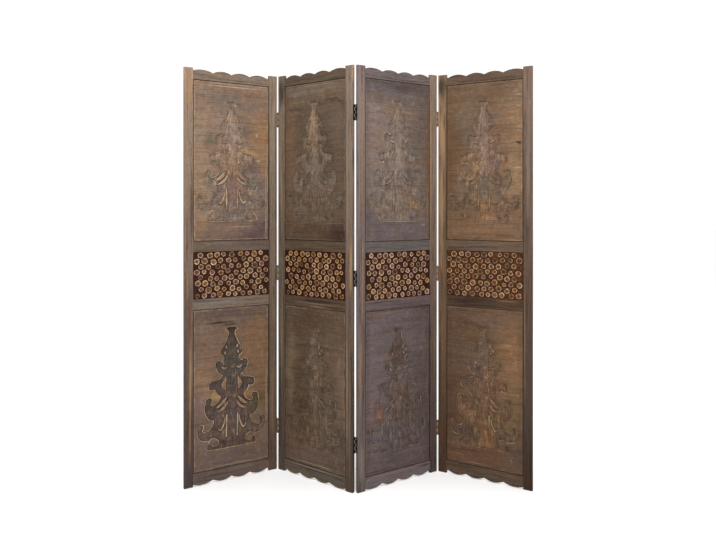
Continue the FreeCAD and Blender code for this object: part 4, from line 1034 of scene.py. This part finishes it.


# Patches on the frames, in millimetres: across and up the panel, half width, half height,
# strength and tone. The long thin dark patches along the stiles' inner edges, beside the
# boards, are grime and painted shade in the joints.
STREAK_TONES = {
    "tan": seen(182, 144, 104), "dark": seen(52, 41, 33), "grey": seen(150, 136, 122),
    "red": seen(120, 72, 58), "olive": seen(104, 96, 66), "slate": seen(78, 72, 72),
}
FRAME_PATCHES = {
    "lower_mid_rail_2": (
        (240, 744, 150, 7, 0.9, "dark"), (320, 726, 70, 5, 0.6, "dark"),
        (220, 734, 160, 3, 0.5, "grey"),
    ),
    "bottom_rail_2": (
        (200, 48, 170, 2.5, 0.9, "grey"), (180, 40, 160, 4, 0.7, "dark"),
        (330, 36, 40, 8, 0.5, "dark"),
    ),
    "lower_mid_rail_4": ((110, 742, 90, 8, 0.8, "dark"), (300, 750, 50, 4, 0.4, "tan")),
    "bottom_rail_4": ((150, 40, 110, 3, 0.6, "olive"), (260, 34, 70, 5, 0.4, "dark")),
    "bottom_rail_1": ((120, 30, 80, 5, 0.5, "dark"), (260, 40, 60, 3, 0.4, "grey")),
    "top_rail_1": ((200, 1664, 150, 3, 0.35, "dark"), (120, 1680, 60, 4, 0.3, "tan")),
    "upper_mid_rail_1": ((320, 975, 50, 9, 0.35, "red"), (140, 985, 90, 4, 0.4, "grey")),
    "lower_mid_rail_1": ((160, 742, 110, 4, 0.5, "grey"), (300, 724, 60, 3, 0.5, "dark")),
    "upper_mid_rail_2": ((200, 960, 150, 4, 0.5, "dark"),),
    "lower_mid_rail_3": ((150, 746, 110, 5, 0.5, "slate"), (260, 722, 90, 3, 0.6, "dark")),
    "bottom_rail_3": ((200, 44, 150, 3, 0.5, "grey"), (330, 40, 30, 6, 0.6, "dark")),
    "top_rail_3": ((230, 1660, 120, 3, 0.6, "dark"),),
    "upper_mid_rail_4": ((250, 962, 120, 4, 0.5, "olive"),),
    "left_stile_1": (
        (22, 1610, 10, 90, 0.8, "tan"), (5, 1300, 7, 260, 0.6, "grey"),
        (31, 1130, 7, 160, 0.6, "dark"), (6, 480, 6, 420, 0.5, "slate"),
        (20, 640, 8, 110, 0.7, "red"), (26, 430, 7, 190, 0.85, "tan"),
        (24, 200, 6, 120, 0.4, "tan"), (14, 40, 22, 60, 0.4, "slate"),
        (12, 1010, 4, 110, 0.5, "dark"), (14, 830, 4, 90, 0.5, "tan"),
        (30, 300, 3, 160, 0.6, "dark"),
    ),
    "right_stile_1": (
        (366, 850, 2.5, 900, 0.8, "dark"), (397, 700, 4, 900, 0.6, "dark"),
        (381, 1400, 8, 220, 0.5, "grey"), (374, 620, 4, 300, 0.4, "olive"),
        (381, 300, 6, 200, 0.3, "tan"),
    ),
    "left_stile_2": (
        (34, 850, 3, 900, 0.6, "dark"), (14, 1330, 7, 260, 0.4, "grey"),
        (20, 1625, 26, 60, 0.7, "dark"), (20, 540, 7, 200, 0.35, "tan"),
        (6, 900, 6, 300, 0.3, "olive"), (8, 250, 8, 220, 0.5, "dark"),
        (22, 1200, 3, 180, 0.6, "tan"), (10, 1120, 3, 160, 0.5, "dark"),
        (24, 700, 3, 180, 0.5, "grey"), (14, 420, 3, 140, 0.6, "dark"),
    ),
    "right_stile_2": (
        (376, 1300, 7, 330, 0.7, "grey"), (392, 1250, 5, 300, 0.35, "tan"),
        (392, 905, 7, 120, 1.0, "tan"), (373, 420, 5, 330, 0.6, "tan"),
        (386, 300, 5, 280, 0.35, "grey"), (365.5, 850, 2, 900, 0.6, "dark"),
        (398, 300, 3, 300, 0.7, "dark"),
    ),
    "left_stile_3": (
        (8, 1300, 6, 330, 0.5, "grey"), (24, 1350, 8, 240, 0.35, "tan"),
        (20, 640, 12, 90, 0.45, "red"), (12, 480, 8, 160, 0.4, "tan"),
        (28, 500, 5, 110, 0.5, "red"), (16, 120, 18, 100, 0.5, "grey"),
        (35, 850, 2.5, 900, 0.7, "dark"), (12, 1560, 3, 120, 0.7, "grey"),
        (26, 1200, 3, 220, 0.6, "olive"), (17, 960, 3, 200, 0.6, "slate"),
        (23, 780, 3, 130, 0.6, "tan"), (7, 820, 3, 160, 0.6, "dark"),
    ),
    "right_stile_3": (
        (368, 1330, 5, 300, 0.7, "tan"), (384, 1350, 6, 250, 0.4, "grey"),
        (394, 1100, 5, 300, 0.4, "tan"), (380, 350, 14, 300, 0.35, "slate"),
        (386, 500, 4, 160, 0.3, "tan"), (366, 400, 3, 420, 0.6, "dark"),
    ),
    "left_stile_4": (
        (20, 1430, 14, 110, 0.8, "tan"), (16, 1130, 12, 180, 0.7, "tan"),
        (18, 1650, 24, 56, 0.85, "dark"), (26, 1610, 9, 50, 0.6, "olive"),
        (30, 980, 5, 180, 0.5, "olive"), (8, 420, 8, 330, 0.5, "dark"),
        (32, 470, 4, 260, 0.45, "olive"), (35, 1200, 2.5, 500, 0.6, "dark"),
        (10, 1545, 5, 34, 0.7, "olive"), (27, 1500, 4, 40, 0.6, "dark"),
        (11, 1330, 4, 50, 0.5, "olive"), (25, 1240, 4, 60, 0.5, "dark"),
        (9, 1060, 4, 60, 0.6, "olive"), (24, 1030, 4, 50, 0.5, "dark"),
        (14, 900, 5, 50, 0.6, "tan"), (26, 760, 4, 80, 0.5, "olive"),
    ),
    "right_stile_4": (
        (385, 1350, 10, 320, 0.5, "grey"), (372, 1250, 5, 330, 0.4, "slate"),
        (382, 420, 16, 380, 0.45, "slate"), (366, 850, 2.5, 900, 0.75, "dark"),
        (371, 650, 3, 240, 0.4, "tan"),
    ),
}


def patch_weight(shader, place, patch, rough):
    """Return how much a patch covers a point."""
    across, up, half_width, half_height, strength = patch[:5]
    sizes = (1 / (half_width * MM), 1, 1 / (half_height * MM))
    centre = (-across / half_width, 0, -up / half_height)
    x, _, z = shader.split(shader.scaled(place, sizes, centre))
    flat = {0: shader.join(x, 0.0, z)}
    away = shader.node("VectorMath", flat, output="Value", operation="LENGTH")
    away = shader.add(away, shader.swing(rough, 1.6))
    return shader.span(away, 1.3, 0.2, 0.0, min(1.0, strength))


def frame_wood(panel, piece, upright, seed):
    """Make the wood of a stile or a rail."""
    shader = Shader(f"wood_{piece}")
    foot, top = FRAME_TONES[piece][0], FRAME_TONES[piece][-1]
    middle = tuple((a + b) / 2 for a, b in zip(foot, top))
    place, colour, roughness, height = wood_layers(
        shader, panel, upright, seed, wood_tones(middle), FRAME_FIGURE
    )
    # Stiles turn from the foot's tone to the top's tone: painted light falling from above
    if upright:
        rise = shader.span(shader.split(place)[2], 0.05, 1.65, smooth=False)
        ends = [
            tuple(part / whole for part, whole in zip(seen(*tone)[:3], seen(*middle)[:3])) + (1.0,)
            for tone in (foot, top)
        ]
        colour = shader.tint(colour, shader.mix(rise, *ends))
    ragged = shader.noise(place, (120, 120, 14), 4, 0.65)
    for patch in FRAME_PATCHES.get(piece, ()):
        weight = patch_weight(shader, place, patch, ragged)
        colour = shader.mix(weight, colour, STREAK_TONES[patch[-1]])
    patchy = shader.noise(place, (40, 40, 9), 3, 0.6)
    pale_edges = shader.mul(
        shader.span(shader.turned(0.0022), 0.985, 0.90), shader.span(patchy, 0.38, 0.62), 0.45
    )
    colour = shader.mix(pale_edges, colour, TAN)
    return shader.finish(colour, roughness, height, relief=GRAIN_RELIEF, rounding=0.0009)


# Depths from the front faces, in metres, over which boards and backings turn to plain wood
BEHIND = (0.0062, 0.0078)


def board_wood(panel, kind, seed):
    """Make a carved board's wood, whose stain, painted shade and highlights follow the carving."""
    shader = Shader(f"board_wood_{kind}_{panel}")
    look = BOARD_LOOKS[panel, kind]
    sharp, soft, pale = look["sharp"], 1 - look["sharp"], seen(*look["pale"])
    place, plain, roughness, height = wood_layers(
        shader, None, False, seed, wood_tones(look["base"]), BOARD_FIGURE
    )
    patches = shader.noise(place, (30, 30, 30), 3, 0.6)
    blotch = shader.noise(place, (62, 62, 40), 4, 0.65)
    strokes = shader.noise(place, (170, 170, 24), 3, 0.6)
    rough_edge = shader.noise(place, (110, 110, 110), 3, 0.6)
    ragged = shader.noise(place, (14, 14, 90), 3, 0.6)

    # Stain of the board, its knots, and the stain of the sunk tree, with patina and painted shade
    # by its walls
    gap = shader.attribute("tree_gap")
    loose = shader.add(gap, shader.swing(rough_edge, 1.6))
    wandering = shader.add(loose, shader.swing(blotch, 3 + 26 * soft))
    floor = shader.span(wandering, 1.0 + 3 * soft, -2.0 - 3 * soft)
    stained = shader.tint(plain, shader.attribute("stain", "Vector"))
    for knot in look.get("knots", ()):
        stained = shader.mix(patch_weight(shader, place, knot, ragged), stained, PORE_AND_SHADE)
    sunk = shader.tint(plain, shader.attribute("tree_stain", "Vector"))
    sunk = shader.vary(sunk, strokes, 0.34, 0.66, 0.74, 1.26)
    # The sunk tree darker just inside its walls than further in: patina and painted shade
    sunk = shader.shade(sunk, shader.span(loose, -1.0, -7.0, 1 - 0.2 * sharp, 1.05))
    colour = shader.mix(floor, stained, sunk)
    near = shader.span(loose, 14.0, -1.0, 0.35, 1.0)
    mottled = shader.span(blotch, 0.32, 0.68, -0.32, 0.32, smooth=False)
    colour = shader.shade(colour, shader.add(shader.mul(mottled, near), 1.0))
    specks = shader.mul(
        shader.span(blotch, 0.56, 0.68), shader.span(strokes, 0.50, 0.62), near, 0.6
    )
    colour = shader.mix(specks, colour, pale)

    # Painted soft shadow around the tree, and a dark line at the foot of its walls, patina and
    # painted shade in the corner
    halo = shader.mul(shader.span(loose, 11.0, 0.5), shader.span(loose, -0.4, 0.4), -look["halo"])
    colour = shader.shade(colour, shader.add(halo, 1.0))
    # Patina and painted shade at the foot of the walls
    foot = shader.mul(
        shader.span(loose, -0.2, -1.0), shader.span(loose, -5.0, -2.0),
        shader.span(patches, 0.44, 0.58, 0.1, 1.0),
        shader.span(shader.attribute("rim"), 0.0, 1.0, 0.18, 0.70),
    )
    colour = shader.mix(foot, colour, PORE_AND_SHADE)

    # Pale edges of the tree, partly from wear and partly a painted highlight where they catch
    # the light, and its islands
    rim_patchiness = shader.span(patches, 0.40, 0.58, 0.05 + 0.3 * sharp, 1.1)
    pale_edges = shader.mul(shader.attribute("rim"), rim_patchiness)
    rim = shader.mul(shader.span(loose, -0.9, 0.0), shader.span(loose, 3.4, 1.3), pale_edges)
    colour = shader.mix(shader.math("MINIMUM", rim, 1.0), colour, pale)
    heart = shader.mul(
        shader.attribute("island"), shader.span(gap, 0.0, 0.6), shader.span(gap, 1.4, 2.6),
        shader.span(pale_edges, 0.1, 0.6), look["heart"],
    )
    colour = shader.mix(heart, colour, OCHRE)

    # Painted shade along the frame, grime and painted shadow in its groove, the painted highlight
    # on the raised face's edge, and pale marks
    edge = shader.attribute("edge_gap")
    # Painted shade: the board darker towards the frame
    colour = shader.shade(colour, shader.span(edge, 5.0, 32.0, 1 - look["shade"], 1.0))
    # Grime and painted shadow in the groove by the frame
    colour = shader.lay(colour, PORE_AND_SHADE, edge, 4.6, 0.8, 0.85)
    # Painted highlight where the rounded edge of the raised face catches the light
    line = shader.mul(shader.span(edge, 4.0, 5.4), shader.span(edge, 9.5, 6.4))
    lit = shader.mul(shader.span(patches, 0.42, 0.62, 0.1, 1.1), look["border"])
    colour = shader.mix(shader.mul(line, lit), colour, pale)
    # Pale marks: spots on the wood, and painted highlight lines along edges
    for mark in look.get("marks", ()):
        colour = shader.mix(patch_weight(shader, place, mark, ragged), colour, pale)
    colour = shader.lay(colour, plain, shader.split(place)[1], *BEHIND)
    return shader.finish(colour, roughness, height, relief=GRAIN_RELIEF)


# What the log slices of each band are tinted and lightened by, and the tone of their backing
SLICE_TINTS = {
    1: (1.00, 0.89, 0.87), 2: (0.99, 0.85, 0.74), 3: (1.04, 0.94, 1.06), 4: (1.02, 0.86, 0.78),
}
SLICE_GAINS = {1: 1.34, 2: 1.36, 3: 1.38, 4: 1.12}
BACKINGS = {1: (60, 26, 8), 2: (58, 22, 4), 3: (60, 29, 11), 4: (86, 50, 18)}
BARK = seen(54, 29, 13)
CRACK = seen(64, 38, 20)
PITH = seen(54, 30, 14)
GOLDEN = 0.618


def slice_wood(panel):
    """Make the end grain of a band's log slices."""
    shader = Shader(f"slice_wood_{panel}")
    share, u, v = shader.split(shader.attribute("disc", "Vector"))
    first, second, number = shader.split(shader.attribute("tone", "Vector"))
    third = shader.math("FRACT", shader.mul(number, GOLDEN))
    seeded = shader.join(u, v, number)
    bend = shader.noise(seeded, 2.4, 3)
    ring = shader.add(share, shader.swing(bend, 0.34))
    ring = shader.math("DIVIDE", ring, shader.span(third, 0.0, 1.0, 0.80, 0.98, smooth=False))
    tan = shader.mix(first, seen(224, 208, 181), seen(177, 152, 124))
    tan = shader.lay(tan, seen(192, 130, 86), second, 0.84, 0.92, 0.7)
    tan = shader.lay(tan, seen(172, 150, 142), second, 0.16, 0.08, 0.5)
    tan = shader.lay(tan, seen(200, 176, 112), second, 0.44, 0.50, 0.4)
    brown = shader.mix(first, seen(150, 108, 66), seen(98, 66, 38))
    angle = shader.math("ARCTAN2", v, u)
    turning = shader.join(shader.mul(angle, 1.6), shader.mul(share, 0.8), number)
    rays = shader.noise(turning, detail=3)
    pale = shader.mul(
        shader.span(ring, 0.56, 0.76), shader.span(ring, 1.0, 0.90),
        shader.span(rays, 0.58, 0.46, 0.12, 1.0),
    )
    colour = shader.mix(pale, brown, tan)
    turning = shader.join(shader.mul(angle, 6.0), shader.mul(share, 0.6), number)
    cracks = shader.noise(turning, detail=2)
    colour = shader.lay(colour, CRACK, cracks, 0.54, 0.68, 0.55)
    heart = shader.noise(seeded, 4.4, 3, 0.7)
    inner = shader.mul(shader.span(ring, 0.66, 0.44), shader.span(heart, 0.46, 0.55), 0.85)
    colour = shader.mix(inner, colour, PITH)
    fourth = shader.math("FRACT", shader.mul(number, GOLDEN * GOLDEN))
    dim = shader.span(fourth, 0.0, 0.45, 0.5, 1.0)
    colour = shader.shade(colour, shader.mul(dim, SLICE_GAINS[panel]))
    colour = shader.lay(colour, BARK, ring, 0.93, 1.02)
    colour = shader.vary(colour, heart, 0.3, 0.7, 1.2, 0.8)
    colour = shader.tint(colour, SLICE_TINTS[panel])
    height = shader.add(shader.mul(cracks, -0.6), shader.mul(heart, 0.6))
    return shader.finish(colour, shader.span(heart, 0.3, 0.7, 0.5, 0.66), height, relief=0.0004)


def backing_wood(panel):
    """Make the dark backing between the slices."""
    shader = Shader(f"backing_wood_{panel}")
    tones = wood_tones(FRAME_TONES[f"lower_mid_rail_{panel}"][0])
    place, plain, _, _ = wood_layers(shader, panel, False, panel * 4.3, tones)
    mottle = shader.noise(place, 90, 4, 0.6)
    dark, light = (toned(BACKINGS[panel], gain, gain, gain) for gain in (0.7, 1.3))
    colour = shader.lay(dark, light, mottle, 0.35, 0.7)
    glue = shader.noise(place, 260, 2)
    colour = shader.lay(colour, plain, shader.split(place)[1], *BEHIND)
    return shader.finish(colour, shader.span(mottle, 0.3, 0.7, 0.5, 0.7), glue, relief=0.0008)


def metal(name, panel, body, rubbed, rust):
    """Make the aged brass of a hinge piece, rubbed bright on its edges."""
    shader = Shader(name)
    place = shader.place(panel)
    mottle = shader.noise(place, 220, 4, 0.6)
    speckle = shader.noise(place, 900, 2)
    pale_edges = shader.mul(
        shader.span(shader.turned(0.0007), 0.985, 0.85), shader.span(mottle, 0.35, 0.6), 0.7
    )
    colour = shader.lay(body, rust, mottle, 0.45, 0.7, 0.6)
    colour = shader.mix(pale_edges, colour, rubbed)
    roughness = shader.span(speckle, 0.3, 0.7, 0.30, 0.48)
    return shader.finish(colour, roughness, speckle, relief=0.00008, specular=0.5, metallic=1.0,
                         rounding=0.0004)


# Body, rubbed and browned tone of the brass, and a darker copy of these for the leaves at the
# middle fold, painted shade of the deep gap there
BRASS = (seen(122, 97, 68, 1.0), seen(196, 164, 114, 1.0), seen(78, 60, 44, 1.0))
SHADED_BRASS = (seen(62, 54, 46, 1.0), seen(110, 96, 78, 1.0), seen(40, 32, 27, 1.0))
MIDDLE_FOLD = ("2_right", "3_left", "_23")


def dress(item, material):
    """Give an object its one material."""
    item.data.materials.clear()
    item.data.materials.append(material)


template = board_triangles(*BOARDS["lower"])
nodes = frame["nodes"]
for panel in PANELS:
    for kind in BOARDS:
        board = make_board(panel, kind, template)
        dress(board, board_wood(panel, kind, panel * 2.3 + (kind == "upper") * 1.1))
    dress(make_slices(panel), slice_wood(panel))
    dress(nodes[f"band_backing_{panel}"], backing_wood(panel))
    for number, side in enumerate(("left", "right")):
        name = f"{side}_stile_{panel}"
        dress(nodes[name], frame_wood(panel, name, True, panel * 5.1 + number * 2.7))
    for number, rail in enumerate(("bottom", "lower_mid", "upper_mid", "top")):
        name = f"{rail}_rail_{panel}"
        dress(nodes[name], frame_wood(panel, name, False, panel * 3.3 + number * 1.9))

for name, item in nodes.items():
    if name.startswith("hinge_"):
        # The middle fold's hinges take the shaded brass: painted shade of the gap
        tones = SHADED_BRASS if name.endswith(MIDDLE_FOLD) else BRASS
        dress(item, metal(f"metal_{name}", int(name.split("_")[2][0]), *tones))


# Stage: pale floor, soft light and the camera

FLOOR_HALF = 30.0
FLOOR_PALE = (0.96, 0.96, 0.96, 1)
FLOOR_GREY = (0.94, 0.94, 0.94, 1)
WORLD_STRENGTH = 1.06
# Place, target, size in metres and power in watts of each soft lamp
LAMPS = {
    "key": ((-0.2, -1.5, 3.1), (0, 0, 1.7), (2.6, 0.9), 64),
    "fill": ((0.7, -3.3, 0.7), (0, 0, 0.6), (2.4, 0.9), 30),
    "back": ((0.0, 2.4, 3.0), (0, 0, 1.4), (3.0, 1.2), 30),
}
# The photograph in pixels: its size, the camera's focal length and the row of the horizon
PHOTO_WIDTH = 716
PHOTO_HEIGHT = 540
FOCAL_PIXELS = 634.4
HORIZON_ROW = 205.4
SENSOR_WIDTH = 36
CAMERA_PLACE = (0.0017, -2.6381, 1.1417)


def floor_material():
    """Make the pale paint of the floor."""
    shader = Shader("floor_paint")
    mottle = shader.noise(shader.place(None), 3, 3)
    colour = shader.lay(FLOOR_GREY, FLOOR_PALE, mottle, 0.4, 0.6)
    return shader.finish(colour, 0.85, specular=0.2)


def softbox(name, place, target, size, power):
    """Make a rectangular lamp that the camera doesn't see."""
    lamp = bpy.data.lights.new(name, "AREA")
    lamp.shape = "RECTANGLE"
    lamp.size, lamp.size_y = size
    lamp.energy = power
    item = bpy.data.objects.new(name, lamp)
    item.location = place
    item.rotation_euler = (Vector(target) - Vector(place)).to_track_quat("-Z", "Y").to_euler()
    item.visible_camera = False
    bpy.context.scene.collection.objects.link(item)


floor_mesh = bpy.data.meshes.new("floor")
corners = [(x * FLOOR_HALF, y * FLOOR_HALF, 0) for x, y in ((-1, -1), (1, -1), (1, 1), (-1, 1))]
floor_mesh.from_pydata(corners, [], [(0, 1, 2, 3)])
floor = bpy.data.objects.new("floor", floor_mesh)
bpy.context.scene.collection.objects.link(floor)
floor_mesh.materials.append(floor_material())

bpy.context.scene.view_settings.view_transform = "Standard"
world = bpy.data.worlds.new("studio")
world.use_nodes = True
background = world.node_tree.nodes["Background"]
background.inputs["Color"].default_value = (1.0, 1.0, 1.0, 1)
background.inputs["Strength"].default_value = WORLD_STRENGTH
bpy.context.scene.world = world
for name, settings in LAMPS.items():
    softbox(name, *settings)

camera_data = bpy.data.cameras.new("camera")
camera_data.sensor_width = SENSOR_WIDTH
camera_data.lens = FOCAL_PIXELS / PHOTO_WIDTH * SENSOR_WIDTH
camera_data.shift_y = -(PHOTO_HEIGHT / 2 - HORIZON_ROW) / PHOTO_WIDTH
camera = bpy.data.objects.new("camera", camera_data)
camera.location = CAMERA_PLACE
camera.rotation_euler = (math.radians(90), 0, 0)
bpy.context.scene.collection.objects.link(camera)
bpy.context.scene.camera = camera
